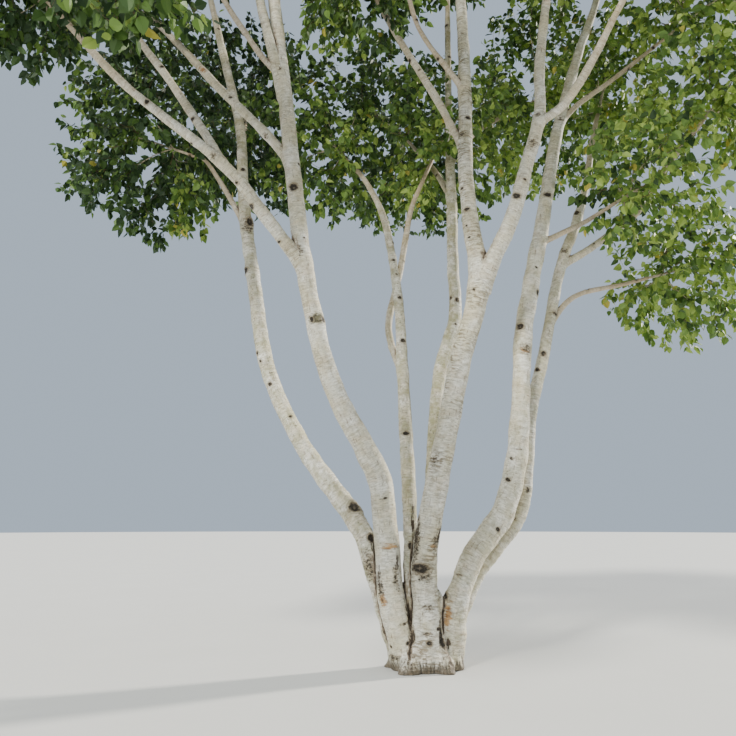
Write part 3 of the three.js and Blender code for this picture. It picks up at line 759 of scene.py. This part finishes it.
def foot_blank(stems):
    """The stems' lower ends, the filling between them and the root swellings, as closed tubes."""
    saddle = Limb(SADDLE_INDEX, np.array(SADDLE) / PER_METRE)
    bm = bmesh.new()
    places = []
    for limb in [*stems, saddle, *(root_limb(i) for i in range(ROOTS["count"]))]:
        steps = len(limb.run) - 1
        if limb in stems:
            steps = np.searchsorted(limb.at[:, 2], MELD_HEIGHT)
        ring, angle = rolled_grid(bm, limb.sides, steps)
        outward = limb.round_points(ring, angle)
        places.append(limb.at[ring] + outward * limb.radius[ring][:, None])
    limb_corners = len(bm.verts)
    height = CORE["height"] + BELOW_GROUND
    middle = Matrix.Translation((CORE["x"], CORE["y"], (CORE["height"] - BELOW_GROUND) / 2))
    core = middle @ Matrix.Diagonal((CORE["wide"], CORE["deep"], 1, 1))
    cone = bmesh.ops.create_cone(bm, cap_ends=True, segments=CORE["sides"], radius1=1,
                                 radius2=CORE["taper"], depth=height, matrix=core)["verts"]
    top = {corner for corner in cone if corner.co.z > 0}
    rim = [edge for corner in top for edge in corner.link_edges if edge.other_vert(corner) in top]
    bmesh.ops.bevel(bm, geom=list(set(rim)), offset=CORE["round"], segments=CORE["round_steps"],
                    affect="EDGES", profile=0.5, material=-1)
    places.append(np.array([corner.co[:] for corner in bm.verts])[limb_corners:])
    mesh = mesh_of(bm, "foot_blank")
    mesh.vertices.foreach_set("co", np.concatenate(places).ravel())
    close_rolls(mesh)
    return mesh


def foot_meshes(stems):
    """The foot as one skin, melded by voxels, with its relief: below the fork and above it."""
    blank = placed("foot_blank", foot_blank(stems))
    meld = blank.modifiers.new("meld", "REMESH")
    meld.mode = "VOXEL"
    meld.voxel_size = FOOT_VOXEL
    soften = blank.modifiers.new("soften", "SMOOTH")
    soften.iterations = FOOT_SOFTENING
    depsgraph = bpy.context.evaluated_depsgraph_get()
    mesh = bpy.data.meshes.new_from_object(blank.evaluated_get(depsgraph))
    bpy.data.objects.remove(blank)
    count = len(mesh.vertices)
    points, normals = np.empty(count * 3), np.empty(count * 3)
    mesh.vertices.foreach_get("co", points)
    mesh.vertex_normals.foreach_get("vector", normals)
    points, normals = points.reshape(-1, 3), normals.reshape(-1, 3)
    proud, fields = foot_bark(stems, points)
    fade = np.clip((MELD_HEIGHT - points[:, 2]) / (2 * MELD_LAP), 0, 1)
    flat = np.clip(points[:, 2] / FOOT_FLAT, 0, 1)
    lumps = FOOT_LUMP * ripples(points * FOOT_LUMP_WAVES, FOOT_SEED)
    lumps *= np.clip(1 - points[:, 2] / FOOT_LUMP_TOP, 0, 1)
    points += normals * (proud + lumps * fade * flat)[:, None]
    mesh.vertices.foreach_set("co", points.ravel())
    store_fields(mesh, fields)
    return cut_layer(mesh, "trunk_bark", 0, FORK_HEIGHT), cut_layer(mesh, "stems_low", FORK_HEIGHT, None)


def foot_bark(stems, points):
    """The foot's bark takes each stem's own relief and fields, and a dark crease where two meet: painted
    shade over darker bark.
    """
    overs, outs, reliefs, barks = [], [], [], []
    for stem in stems:
        last = np.searchsorted(stem.at[:, 2], MELD_HEIGHT) + FOOT_EXTRA_RINGS
        ring, share, distance = nearest_on(stem, points, last)
        out = points - between(stem.at, ring, share)
        angle = np.arctan2((out * stem.face[ring]).sum(axis=1), (out * stem.across[ring]).sum(axis=1))
        radius = np.maximum(distance, FOOT_LEAST_RADIUS)
        proud, bark = bark_at(stem, between(stem.run, ring, share), angle, radius)
        overs.append(distance - between(stem.radius, ring, share))
        outs.append(unit(out))
        reliefs.append(proud)
        barks.append(bark)
    near, second = np.argsort(overs, axis=0)[:2]
    row = np.arange(len(points))
    overs, outs = np.array(overs), np.array(outs)
    crease = np.clip(1 - (overs[second, row] - overs[near, row]) / FOOT_CREASE, 0, 1)
    facing = (outs[near, row] * outs[second, row]).sum(axis=1)
    crease *= np.clip((FOOT_FACING - facing) * FOOT_FACING_GAIN, 0, 1)
    fields = {key: np.array([bark[key] for bark in barks])[near, row] for key in barks[0]}
    fields["crease"] = crease
    return np.array(reliefs)[near, row] - FOOT_GROOVE * crease ** 2, fields


def cut_layer(mesh, name, bottom, top):
    """The part of a mesh between two heights; a cut at the ground is closed flat."""
    bm = bmesh.new()
    bm.from_mesh(mesh)
    for height, way in ((bottom, -1), (top, 1)):
        if height is None:
            continue
        everything = [*bm.verts, *bm.edges, *bm.faces]
        cut = bmesh.ops.bisect_plane(bm, geom=everything, dist=TINY, plane_co=(0, 0, height),
                                     plane_no=(0, 0, way), clear_outer=True)
        if height == 0:
            rim = [part for part in cut["geom_cut"] if isinstance(part, bmesh.types.BMEdge)]
            bmesh.ops.holes_fill(bm, edges=rim, sides=0)
    for face in bm.faces:
        face.smooth = abs(face.normal.z) < LEVEL_FACE
    return mesh_of(bm, name)


def even_step(index, base):
    """Even steps through 0 to 1: the index's digits in turned order, behind the point."""
    share, part = 0.0, 1.0 / base
    while index:
        share += part * (index % base)
        index //= base
        part /= base
    return share


def blade_at(at, heading, roll, scale):
    """One spray's blade in the source: the middle of it and its corners."""
    flat = unit(np.cross(UP, heading))
    across = flat * math.cos(roll) + np.cross(heading, flat) * math.sin(roll)
    length = SPRAY["length"] * scale
    widest = at + heading * length * SPRAY["widest"]
    half = across * SPRAY["width"] / 2 * scale
    corners = np.array((widest - half, widest + half, at + heading * length))
    return {"at": at, "heading": heading, "widest": widest, "middle": at + heading * length / 2,
            "corners": corners}


class Mass:
    """A mass of foliage past a limb's tip, with its own space among its neighbours."""

    def __init__(self, limb, index):
        ends = limb.stations[-2:, :3]
        self.name, self.spread, self.hang = limb.foliage, limb.spread, limb.hang
        self.limb, self.index, self.seed = limb, index, 1 + index * SEED_STEP
        self.root, self.heading = ends[1], unit(ends[1] - ends[0])
        self.centre = self.root + self.heading * self.spread * CENTRE_REACH
        self.reach = np.array((1, 1, self.hang)) * self.spread
        low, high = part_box(self.name)
        self.low, self.high = np.array(low) - BOX_SLACK, np.array(high) + BOX_SLACK

    def find_planes(self, masses):
        """The planes towards each neighbour, halfway in proportion to their spreads."""
        away = np.array([other.centre - self.centre for other in masses if other is not self])
        spreads = np.array([other.spread for other in masses if other is not self])
        apart = np.linalg.norm(away, axis=1)
        self.planes = away / apart[:, None]
        self.shares = (apart ** 2 + self.spread ** 2 - spreads ** 2) / (2 * apart)

    def fits(self, points, margin=CELL_MARGIN):
        """Which points lie in the mass's own space."""
        offset = points - self.centre
        inside = np.linalg.norm(offset / self.reach * self.spread, axis=-1) <= self.spread
        return inside & np.all(offset @ self.planes.T <= self.shares - margin, axis=-1)

    def even_place(self, index, fill):
        """The place of one even step through the mass, or None outside it."""
        step = np.array([even_step(index, base) for base in STEP_BASES]) * 2 - 1
        place = self.centre + step * self.reach * fill
        fits = np.linalg.norm(step) <= 1 and self.fits(place, CELL_MARGIN + TWIG_CORE)
        return place if fits else None

    def leader(self):
        """The first spray carries on from the bough's tip, as far as the space lets it."""
        for reach in LEADER_REACHES:
            blade = blade_at(self.root + self.heading * self.spread * reach, self.heading, 0, 1)
            if self.fits(blade["corners"]).all():
                return blade
        return blade

    def sprays(self):
        """The source's sprays, each pointing out, on and a little down, nearest the root first."""
        found = []
        for index in range(self.seed, self.seed + SPRAY_TRIES):
            at = self.even_place(index, SPRAY_FILL)
            if at is None or len(found) == SPRAYS:
                continue
            heading = unit(at - self.root) + (at - self.centre) / self.spread - UP * SPRAY["sag"]
            roll = (even_step(index, ROLL_BASE) - 0.5) * math.pi * SPRAY["turn"]
            blades = [blade_at(at, unit(heading), roll, scale) for scale in SPRAY_SCALES]
            blade = next((one for one in blades if self.fits(one["corners"]).all()), None)
            if blade and all(np.linalg.norm(other["widest"] - blade["widest"]) > SPRAY["apart"]
                             for other in found):
                found.append(blade)
        return sorted(found, key=lambda one: np.linalg.norm(one["at"] - self.root))


class Growth:
    """The twigs of one mass, each a bent line from a joint on an older one to its target."""

    def __init__(self, mass, wood):
        self.mass, self.wood = mass, wood
        self.rng = np.random.default_rng(mass.seed)
        self.lines, self.parents, self.sprays = [], [], []
        self.joint_at = np.empty((0, 3))
        self.joint_way = np.empty((0, 3))
        self.joint_path = np.empty(0)
        self.joint_twig = np.empty(0, int)

    def add(self, start, start_way, end, end_way, parent, path, spray, shares):
        """Adds one twig and the joints along it."""
        length = np.linalg.norm(end - start)
        bends = start + start_way * length * START_BEND, end - end_way * length * END_BEND
        line = np.array((start, *bends, end))
        self.lines.append(line)
        self.parents.append(parent)
        self.sprays.append(spray)
        shares = np.array(shares)
        self.joint_at = np.vstack([self.joint_at, bent(line, shares)])
        self.joint_way = np.vstack([self.joint_way, unit(bent_way(line, shares))])
        self.joint_path = np.append(self.joint_path, path + length * shares)
        self.joint_twig = np.append(self.joint_twig, np.full(len(shares), len(self.lines) - 1))

    def join(self, end, end_way, spray, shares):
        """Joins a target to the nearest joint that isn't a long way round, clear of the limbs."""
        gap = end - self.joint_at
        length = np.linalg.norm(gap, axis=1)
        turn = 1 - (gap * self.joint_way).sum(axis=1) / np.maximum(length, TINY)
        cost = length + PATH_COST * self.joint_path + TURN_COST * turn
        for joint in np.argsort(cost)[:JOINT_OPTIONS]:
            start = self.joint_at[joint]
            start_way = unit(unit(gap[joint]) + JOINT_PULL * self.joint_way[joint])
            if length[joint] > LONGEST_TWIG and shares is FINE_JOINTS:
                continue
            if self.wood.touches(start + CLEAR_SHARES[:, None] * gap[joint], LIMB_CLEARANCE):
                continue
            way = unit(unit(gap[joint]) * GAP_PULL + end_way * END_PULL)
            self.add(start, start_way, end, way, self.joint_twig[joint], self.joint_path[joint], spray,
                     shares)
            return

    def grow(self):
        """The leader, the source's sprays, and the same rule carried on to finer twigs."""
        mass = self.mass
        leader = mass.leader()
        blades = mass.sprays()
        self.add(mass.root, mass.heading, leader["at"], mass.heading, -1, 0.0, 0, MAIN_JOINTS)
        for number, blade in enumerate(blades):
            self.join(blade["at"], blade["heading"], number + 1, MAIN_JOINTS)
        middles = np.array([blade["middle"] for blade in (leader, *blades)])
        targets = []
        volume = (2 * mass.spread) ** 3 * mass.hang
        for index in range(mass.seed, mass.seed + round(TWIGS_PER_VOLUME * volume)):
            place = mass.even_place(index, TWIG_FILL)
            if place is None:
                continue
            spray = np.argmin(np.linalg.norm(middles - place, axis=1))
            place = place + (middles[spray] - place) * TWIG_PULL * self.rng.uniform(*TWIG_PULL_RANGE)
            place += self.rng.normal(0, TWIG_STRAY, 3)
            if np.all((place > mass.low) & (place < mass.high)) and mass.fits(place):
                targets.append((np.linalg.norm(place - mass.root), index, place, spray))
        for _, _, place, spray in sorted(targets, key=lambda target: target[:2]):
            way = unit(place - mass.root) + self.rng.normal(0, TWIG_WILD, 3) - UP * TWIG_SAG
            self.join(place, unit(way), spray, FINE_JOINTS)
        return self

    def radii(self):
        """Each twig's radius at its foot: it grows with how many twigs it carries."""
        carried = np.ones(len(self.parents))
        for twig in range(len(self.parents) - 1, 0, -1):
            carried[self.parents[twig]] += carried[twig]
        power = math.log(self.mass.limb.stations[-1, 3] / 2 / TWIG_TIP) / math.log(carried[0])
        return TWIG_TIP * carried ** power


def bent(lines, shares):
    """Points at these shares along lines that are bent by their four corners."""
    t = shares[..., None]
    weights = np.concatenate([(1 - t) ** 3, 3 * t * (1 - t) ** 2, 3 * t ** 2 * (1 - t), t ** 3], axis=-1)
    return np.einsum("...k,...kc->...c", weights, lines)


def bent_way(lines, shares):
    """The direction at these shares along bent lines, not yet made one long."""
    t = shares[..., None]
    weights = np.concatenate([(1 - t) ** 2, 2 * t * (1 - t), t ** 2], axis=-1)
    return np.einsum("...k,...kc->...c", weights, np.diff(lines, axis=-2))


class Wood:
    """The limbs' middles, to keep twigs and leaves clear of them."""

    def __init__(self, limbs):
        self.radius = np.concatenate([limb.radius for limb in limbs])
        points = np.concatenate([limb.at for limb in limbs])
        self.tree = KDTree(len(points))
        for number, point in enumerate(points):
            self.tree.insert(point, number)
        self.tree.balance()

    def touches(self, points, margin):
        """Whether any of the points is within the margin of a limb."""
        for point in points:
            _, number, distance = self.tree.find(point)
            if distance < self.radius[number] + margin:
                return True
        return False


def joined_mesh(name, points, faces, smooth):
    """A mesh from arrays of points and of faces that all have as many corners."""
    mesh = bpy.data.meshes.new(name)
    mesh.vertices.add(len(points))
    mesh.vertices.foreach_set("co", np.ascontiguousarray(points, np.float32).ravel())
    mesh.loops.add(faces.size)
    mesh.loops.foreach_set("vertex_index", np.ascontiguousarray(faces, np.int32).ravel())
    mesh.polygons.add(len(faces))
    mesh.polygons.foreach_set("loop_start", np.arange(0, faces.size, faces.shape[1], dtype=np.int32))
    mesh.update(calc_edges=True)
    if smooth:
        mesh.shade_smooth()
    else:
        mesh.shade_flat()
    return mesh


def tubes_mesh(name, lines, foot, tip, sides, steps):
    """Tapering tubes along bent lines, whose tips close to a point."""
    shares = np.linspace(0, 1, steps + 1)
    middle = bent(lines[:, None], shares)
    way = unit(bent_way(lines[:, None], shares))
    level = unit(np.cross(way, OFF_AXIS))
    side = np.cross(way, level)
    radius = foot[:, None] + (tip - foot)[:, None] * shares
    radius[:, -1] *= TWIG_POINT
    angle = np.arange(sides) * 2 * math.pi / sides
    ring = level[:, :, None] * np.cos(angle)[:, None] + side[:, :, None] * np.sin(angle)[:, None]
    points = middle[:, :, None] + ring * radius[:, :, None, None]
    first = np.arange(len(lines))[:, None, None] * (steps + 1) * sides
    low = first + np.arange(steps)[:, None] * sides + np.arange(sides)
    nxt = first + np.arange(steps)[:, None] * sides + (np.arange(sides) + 1) % sides
    faces = np.stack([low, nxt, nxt + sides, low + sides], axis=-1)
    return joined_mesh(name, points.reshape(-1, 3), faces.reshape(-1, 4), True)


def make_twigs(growths, bark, twig_bark):
    """The branches and twigs of every mass, thick and thin apart."""
    lines = np.concatenate([np.array(growth.lines) for growth in growths])
    foot = np.concatenate([growth.radii() for growth in growths])
    tip = TWIG_TIP + (foot - TWIG_TIP) * TWIG_END_SHARE
    thick = foot > BRANCH_RADIUS
    branches = tubes_mesh("branches", lines[thick], foot[thick], tip[thick], *BRANCH_FACETS)
    new_piece("branches", branches, bark)
    left = lines[:, 0, 0] < 0
    for name, chosen in (("twigs_left", ~thick & left), ("twigs_right", ~thick & ~left)):
        mesh = tubes_mesh(name, lines[chosen], foot[chosen], tip[chosen], *TWIG_FACETS)
        new_piece(name, mesh, twig_bark)


def leaf_places(growths, wood):
    """Where each leaf's stalk leaves its twig, the leaf's own directions, its size and its spray."""
    rng = np.random.default_rng(LEAF_SEED)
    rows = []
    for growth in growths:
        lines = np.array(growth.lines)
        length = np.linalg.norm(lines[:, 3] - lines[:, 0], axis=1) * (1 - LEAF_FROM)
        counts = np.maximum(FEWEST_LEAVES, np.rint(length / LEAF_EVERY).astype(int))
        twig = np.repeat(np.arange(len(lines)), counts)
        order = np.concatenate([np.arange(count) for count in counts])
        share = LEAF_FROM + (1 - LEAF_FROM) * (order + LEAF_LATE) / counts[twig]
        share = np.clip(share + rng.normal(0, LEAF_STRAY, len(share)), 0, 1)
        at = bent(lines[twig], share)
        way = unit(bent_way(lines[twig], share))
        level = unit(np.cross(way, OFF_AXIS))
        turn = (order * LEAF_TURN + rng.uniform(0, LEAF_TURN_STRAY, len(order)))[:, None]
        aside = level * np.cos(turn) + np.cross(way, level) * np.sin(turn)
        wild = rng.normal(0, LEAF_WILD, (len(order), 3))
        heading = unit(aside * LEAF_ASIDE + way * LEAF_ALONG - UP * LEAF_DROOP + wild)
        tilt = UP * LEAF_LEVEL + rng.normal(0, LEAF_TILT, (len(order), 3))
        across = unit(np.cross(heading, tilt))
        size = LEAF_LENGTH * rng.uniform(*LEAF_SIZES, len(order))
        tip = at + heading * (size + LEAF_STALK)[:, None]
        keep = growth.mass.fits(tip) & np.all((tip > growth.mass.low) & (tip < growth.mass.high), axis=1)
        middle = at + heading * (size / 2 + LEAF_STALK)[:, None]
        for number in np.flatnonzero(keep):
            keep[number] = not wood.touches(middle[number:number + 1], LEAF_CLEARANCE)
        spray = np.array(growth.sprays)[twig]
        place = np.stack([np.full(len(spray), growth.mass.index), spray], axis=1)
        rows.append([part[keep] for part in (at, heading, across, size, place)])
    return [np.concatenate(parts) for parts in zip(*rows)]


def leaves_mesh(name, at, heading, across, size):
    """Leaves folded along the midrib, each an ovate outline with a point and a thin stalk."""
    down, half = LEAF_OUTLINE.T
    along = np.concatenate([(0, 1), down, down])
    aside = np.concatenate([(0, 0), -half, half]) * LEAF_WIDTH / 2
    lift = LEAF_FOLD * np.abs(aside) - LEAF_CURL * along ** 2
    face = np.cross(across, heading)
    foot = at + heading * LEAF_STALK
    parts = ((heading, along), (across, aside), (face, lift))
    blade = foot[:, None] + size[:, None, None] * sum(way[:, None] * far[:, None] for way, far in parts)
    stalk = at[:, None] + across[:, None] * STALK_SIDES[:, None]
    points = np.concatenate([blade, stalk], axis=1)
    faces = LEAF_FACES + np.arange(len(at))[:, None, None] * points.shape[1]
    return joined_mesh(name, points.reshape(-1, 3), faces.reshape(-1, 3), False)


def make_leaves(growths, wood):
    """The leaves in pieces by tint, the tints dealt out by spray, with painted shade to the left and near the
    front and painted sunlight to the right.
    """
    at, heading, across, size, place = leaf_places(growths, wood)
    rng = np.random.default_rng(TINT_SEED)
    sprays, spray = np.unique(place, axis=0, return_inverse=True)
    spray = spray.ravel()
    x, y, _ = np.array([growths[mass].mass.centre for mass, _ in sprays]).T
    # Painted shade and sunlight: sprays to the left and near the front get darker tints, those to the right
    # lighter ones and more yellow leaves.
    near_left = np.clip(-y - NEAR_FROM, 0, 1) * np.clip(-x, 0, 1)
    light = np.clip(MIDDLE_PAINTED_LIGHT + PAINTED_LIGHT_ACROSS * x - NEAR_LEFT_PAINTED_SHADE * near_left, 0, 1)
    pull = light + rng.normal(0, SPRAY_TINT_SPREAD, len(sprays))
    greens = len(TINTS) - 1
    shade = pull[spray] + rng.normal(0, LEAF_TINT_SPREAD, len(spray))
    tint = np.clip(np.floor(shade * greens), 0, greens - 1)
    tint[rng.random(len(spray)) < YELLOW_LEAVES + YELLOW_MORE * light[spray]] = greens
    for number, (name, color) in enumerate(TINTS):
        chosen = tint == number
        mesh = leaves_mesh(name, at[chosen], heading[chosen], across[chosen], size[chosen])
        new_piece(name, mesh, leaf_material(name, color))


class Finish:
    """A node material that is put together in a few lines."""

    def __init__(self, name, roughness, specular):
        self.material = bpy.data.materials.new(name)
        self.material.use_nodes = True
        self.tree = self.material.node_tree
        self.shader = self.tree.nodes["Principled BSDF"]
        self.shader.inputs["Roughness"].default_value = roughness
        self.shader.inputs["Specular IOR Level"].default_value = specular
        self.color = None

    def put(self, value, socket):
        """Links another node's output to a socket, or sets the socket to a colour or a number."""
        if isinstance(value, bpy.types.NodeSocket):
            self.tree.links.new(value, socket)
        elif socket.type == "RGBA":
            socket.default_value = (*value, 1)
        else:
            socket.default_value = value

    def node(self, kind, *values, **named):
        """A node with its first inputs and its named inputs put."""
        node = self.tree.nodes.new("ShaderNode" + kind)
        for number, value in enumerate(values):
            self.put(value, node.inputs[number])
        for name, value in named.items():
            self.put(value, node.inputs[name.replace("_", " ")])
        return node

    def math(self, operation, *values):
        """What an operation makes of the values."""
        node = self.node("Math", *values)
        node.operation = operation
        return node.outputs[0]

    def times(self, *values):
        """The product of the values."""
        product = values[0]
        for value in values[1:]:
            product = self.math("MULTIPLY", product, value)
        return product

    def weighted(self, value, weight, rest=0.0):
        """The value times its weight, and the rest added."""
        return self.math("MULTIPLY_ADD", value, weight, rest)

    def field(self, name, output="Fac"):
        """A field that the mesh keeps."""
        node = self.node("Attribute")
        node.attribute_name = name
        return node.outputs[output]

    def spot(self):
        """The place on the piece."""
        return self.node("TexCoord").outputs["Object"]

    def noise(self, vector, scale, detail=3, roughness=0.55):
        """Soft noise of about 0.3 to 0.7."""
        node = self.node("TexNoise", Vector=vector, Scale=scale, Detail=detail, Roughness=roughness)
        return node.outputs["Fac"]

    def pattern(self, grain, stretch, *noise):
        """Noise on a grain that is stretched in each of its three directions."""
        stretched = self.node("VectorMath", grain, stretch)
        stretched.operation = "MULTIPLY"
        return self.noise(stretched.outputs[0], *noise)

    def ramp(self, value, low, high):
        """0 below low and 1 above high."""
        return self.node("MapRange", Value=value, From_Min=low, From_Max=high).outputs[0]

    def shown(self, key, value):
        """How far a value shows, by the table of that name."""
        return self.ramp(value, *SHOWN[key])

    def mix(self, share, first, second):
        """Two colours mixed: each a colour or another mix. Inputs 6 and 7 and output 2 are the colours."""
        node = self.tree.nodes.new("ShaderNodeMix")
        node.data_type = "RGBA"
        for socket, value in ((node.inputs[0], share), (node.inputs[6], first), (node.inputs[7], second)):
            self.put(value, socket)
        return node.outputs[2]

    def coat(self, key, value, *masks, tint=None):
        """Lays a coat of the table over the colour so far, and gives back how far it shows."""
        begins, full, strength, color = COATS[key]
        share = self.times(self.ramp(value, begins, full), *masks)
        self.color = self.mix(self.times(share, strength), self.color, tint or color)
        return share

    def finish(self, bump=None, depth=0.0):
        """Links the colour and the bump to the shader."""
        if self.color is not None:
            self.tree.links.new(self.color, self.shader.inputs["Base Color"])
        if bump is not None:
            node = self.node("Bump", Height=bump, Distance=depth, Strength=1.0)
            self.tree.links.new(node.outputs[0], self.shader.inputs["Normal"])
        return self.material


def bark_material(name):
    """Creamy birch bark: wrinkles and pores round the limb, algae, eyes, scars, cracks, and crotches darkened
    with painted shade over darker bark.
    """
    bark = Finish(name, roughness=0.62, specular=0.3)
    grain = bark.field("grain", "Vector")
    noise = {key: bark.pattern(grain, *rest) for key, rest in PATTERNS.items()}
    rough, wave, dash, streak = (noise[key] for key in ("rough", "wave", "dash", "streak"))
    algae, eye, knot, scar = (bark.field(key) for key in ("algae", "eye", "knot", "scar"))
    ragged = bark.weighted(bark.math("SUBTRACT", rough, 0.5), FRAY["edge"])
    torn = bark.weighted(bark.math("SUBTRACT", streak, 0.5), FRAY["torn"])
    depth = {"fine": noise["fine"], "rough": rough}

    bark.color = bark.mix(bark.shown("broad", noise["broad"]), CREAM, PALE)
    bark.coat("blush", noise["blush"])
    bark.coat("mottle", noise["mottle"])
    patch = bark.weighted(bark.shown("patch", noise["patch"]), 1 - PATCH_LEAST, PATCH_LEAST)
    line = bark.math("MAXIMUM", bark.shown("wave", wave), bark.shown("dash", dash))
    depth["line"] = bark.coat("line", bark.times(line, patch, bark.field("wrinkles")))
    bark.coat("fine", noise["fine"])
    bark.coat("pore", noise["pore"])
    bark.coat("moss", noise["moss"], algae)
    bark.coat("speck", noise["speck"], algae)
    bark.coat("young", bark.field("young"))

    edge = bark.weighted(bark.math("SUBTRACT", wave, 0.5), FRAY["peel"], bark.field("peel"))
    curl = bark.mix(bark.shown("curl", dash), RUST, PEEL)
    depth["peel"] = bark.coat("peel", edge, tint=curl)

    frayed = bark.weighted(ragged, FRAY["knot"], knot)
    bark.coat("knot", frayed)
    folds = bark.weighted(knot, FOLD_TURNS, bark.times(rough, FOLD_FRAY))
    bark.coat("folds", bark.math("SINE", folds), bark.shown("in_knot", frayed))

    rings = bark.weighted(eye, RING_TURNS, bark.times(rough, RING_FRAY))
    depth["rings"] = bark.coat("rings", bark.math("SINE", rings), bark.shown("near_eye", eye))
    depth["scar"] = bark.coat("scar", bark.weighted(ragged, FRAY["scar"], scar))
    bark.coat("fleck", bark.weighted(ragged, FRAY["fleck"], scar), depth["scar"])
    iris = bark.math("ADD", eye, ragged)
    bark.coat("halo", iris)
    dark = bark.weighted(bark.shown("heart", iris), -HEART_PALE, bark.shown("ring", iris))
    depth["eye"] = bark.coat("eye", dark)

    # Crotches and the foot's creases get painted shade over darker bark, near-black where deepest; the cracks
    # share the near-black, the rugged brown also shows in random streaks.
    crack = bark.weighted(bark.field("crack"), CRACK_WEIGHT, torn)
    seam = bark.weighted(torn, FRAY["crease"], bark.field("crease"))
    bark.coat("rugged_bark_and_crotch_shade", seam)
    split = bark.math("MAXIMUM", bark.shown("crotch", seam), bark.shown("crack", crack))
    depth["split"] = bark.coat("split", split)

    height = bark.node("SeparateXYZ", bark.spot()).outputs[2]
    soil = bark.weighted(height, -SOIL_FALL, bark.times(streak, FRAY["soil"]))
    bark.coat("soil", soil, tint=bark.mix(bark.shown("earth", streak), SOILED, DARK))

    bump = 0.0
    for key, weight in BUMPS.items():
        bump = bark.weighted(depth[key], weight, bump)
    return bark.finish(bump, depth=0.003)


def twig_material(name, color):
    """Smooth bark on branches and twigs, with pale pores."""
    bark = Finish(name, roughness=0.55, specular=0.35)
    mottle = bark.noise(bark.spot(), scale=38, detail=4)
    pores = bark.shown("twig_pores", bark.noise(bark.spot(), scale=210, detail=2))
    shade = tuple(part * TWIG_SHADE for part in color)
    bark.color = bark.mix(bark.shown("twig_mottle", mottle), color, shade)
    bark.color = bark.mix(bark.times(pores, TWIG_PORES), bark.color, PORE)
    return bark.finish(mottle, depth=0.001)


def leaf_material(name, color):
    """A leaf's plain tint, with a soft gloss and fine unevenness."""
    leaf = Finish(name, roughness=0.5, specular=0.4)
    leaf.shader.inputs["Base Color"].default_value = (*color, 1)
    return leaf.finish(leaf.noise(leaf.spot(), scale=240, detail=2), depth=0.0008)


def floor_material():
    """The plain pale floor."""
    floor = Finish("pale_floor", roughness=0.9, specular=0.2)
    floor.color = floor.mix(floor.noise(floor.spot(), scale=1.5), FLOOR_GREY, FLOOR_PALE)
    return floor.finish()


def make_stage():
    """Floor, soft light and the camera at the photo's viewpoint."""
    bm = bmesh.new()
    bmesh.ops.create_circle(bm, cap_ends=True, segments=FLOOR_SIDES, radius=FLOOR_RADIUS)
    bmesh.ops.translate(bm, verts=bm.verts, vec=(0, 0, -FLOOR_GAP))
    floor = placed("floor", mesh_of(bm, "floor"))
    floor.data.materials.append(floor_material())
    world = bpy.data.worlds.new("soft_sky")
    world.use_nodes = True
    sky = world.node_tree.nodes["Background"]
    sky.inputs["Color"].default_value = (*SKY, 1)
    sky.inputs["Strength"].default_value = SKY_STRENGTH
    bpy.context.scene.world = world
    for name, energy, angle, color, at in LAMPS:
        lamp = bpy.data.lights.new(name, "SUN")
        lamp.energy, lamp.angle, lamp.color = energy, math.radians(angle), color
        placed(name, lamp).rotation_euler = (-Vector(at)).to_track_quat("-Z", "Y").to_euler()
    camera = bpy.data.cameras.new("camera")
    camera.sensor_width = SENSOR_MM
    camera.lens = SENSOR_MM * FOCAL_PX / FRAME_PX
    camera.clip_end = 4 * FLOOR_RADIUS
    eye = placed("camera", camera)
    eye.location = CAMERA_AT
    eye.rotation_euler = (math.pi / 2 + CAMERA_TILT, 0, 0)
    bpy.context.scene.camera = eye


def make_limbs():
    """The limbs that the tables describe, with their stations brought to metres."""
    limbs = []
    for index, (name, foliage, spread, hang, *stations) in enumerate((*STEMS, *BOUGHS)):
        limbs.append(Limb(index, np.array(stations) / PER_METRE, name, foliage, spread, hang))
    return limbs


def main():
    """Builds the clump and its stage."""
    make_stage()
    limbs = make_limbs()
    stems, boughs = limbs[:len(STEMS)], limbs[len(STEMS):]
    bark = bark_material("birch_bark")
    trunk, low = foot_meshes(stems)
    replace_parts(new_piece("trunk_bark", trunk, bark), "trunk")
    tall = new_piece("stems_bark", limbs_mesh("stems_bark", stems, limbs), bark)
    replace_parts(tall, *(limb.name for limb in stems))
    new_piece("stems_low_bark", low, bark)
    arms = new_piece("boughs_bark", limbs_mesh("boughs_bark", boughs, limbs), bark)
    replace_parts(arms, *(limb.name for limb in boughs))
    masses = [Mass(limb, index) for index, limb in enumerate(limbs)]
    for mass in masses:
        mass.find_planes(masses)
    wood = Wood(limbs)
    growths = [Growth(mass, wood).grow() for mass in masses]
    make_twigs(growths, twig_material("branch_bark", BRANCH), twig_material("twig_bark", TWIG))
    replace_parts(bpy.data.objects["branches"], *(mass.name for mass in masses))
    make_leaves(growths, wood)


main()
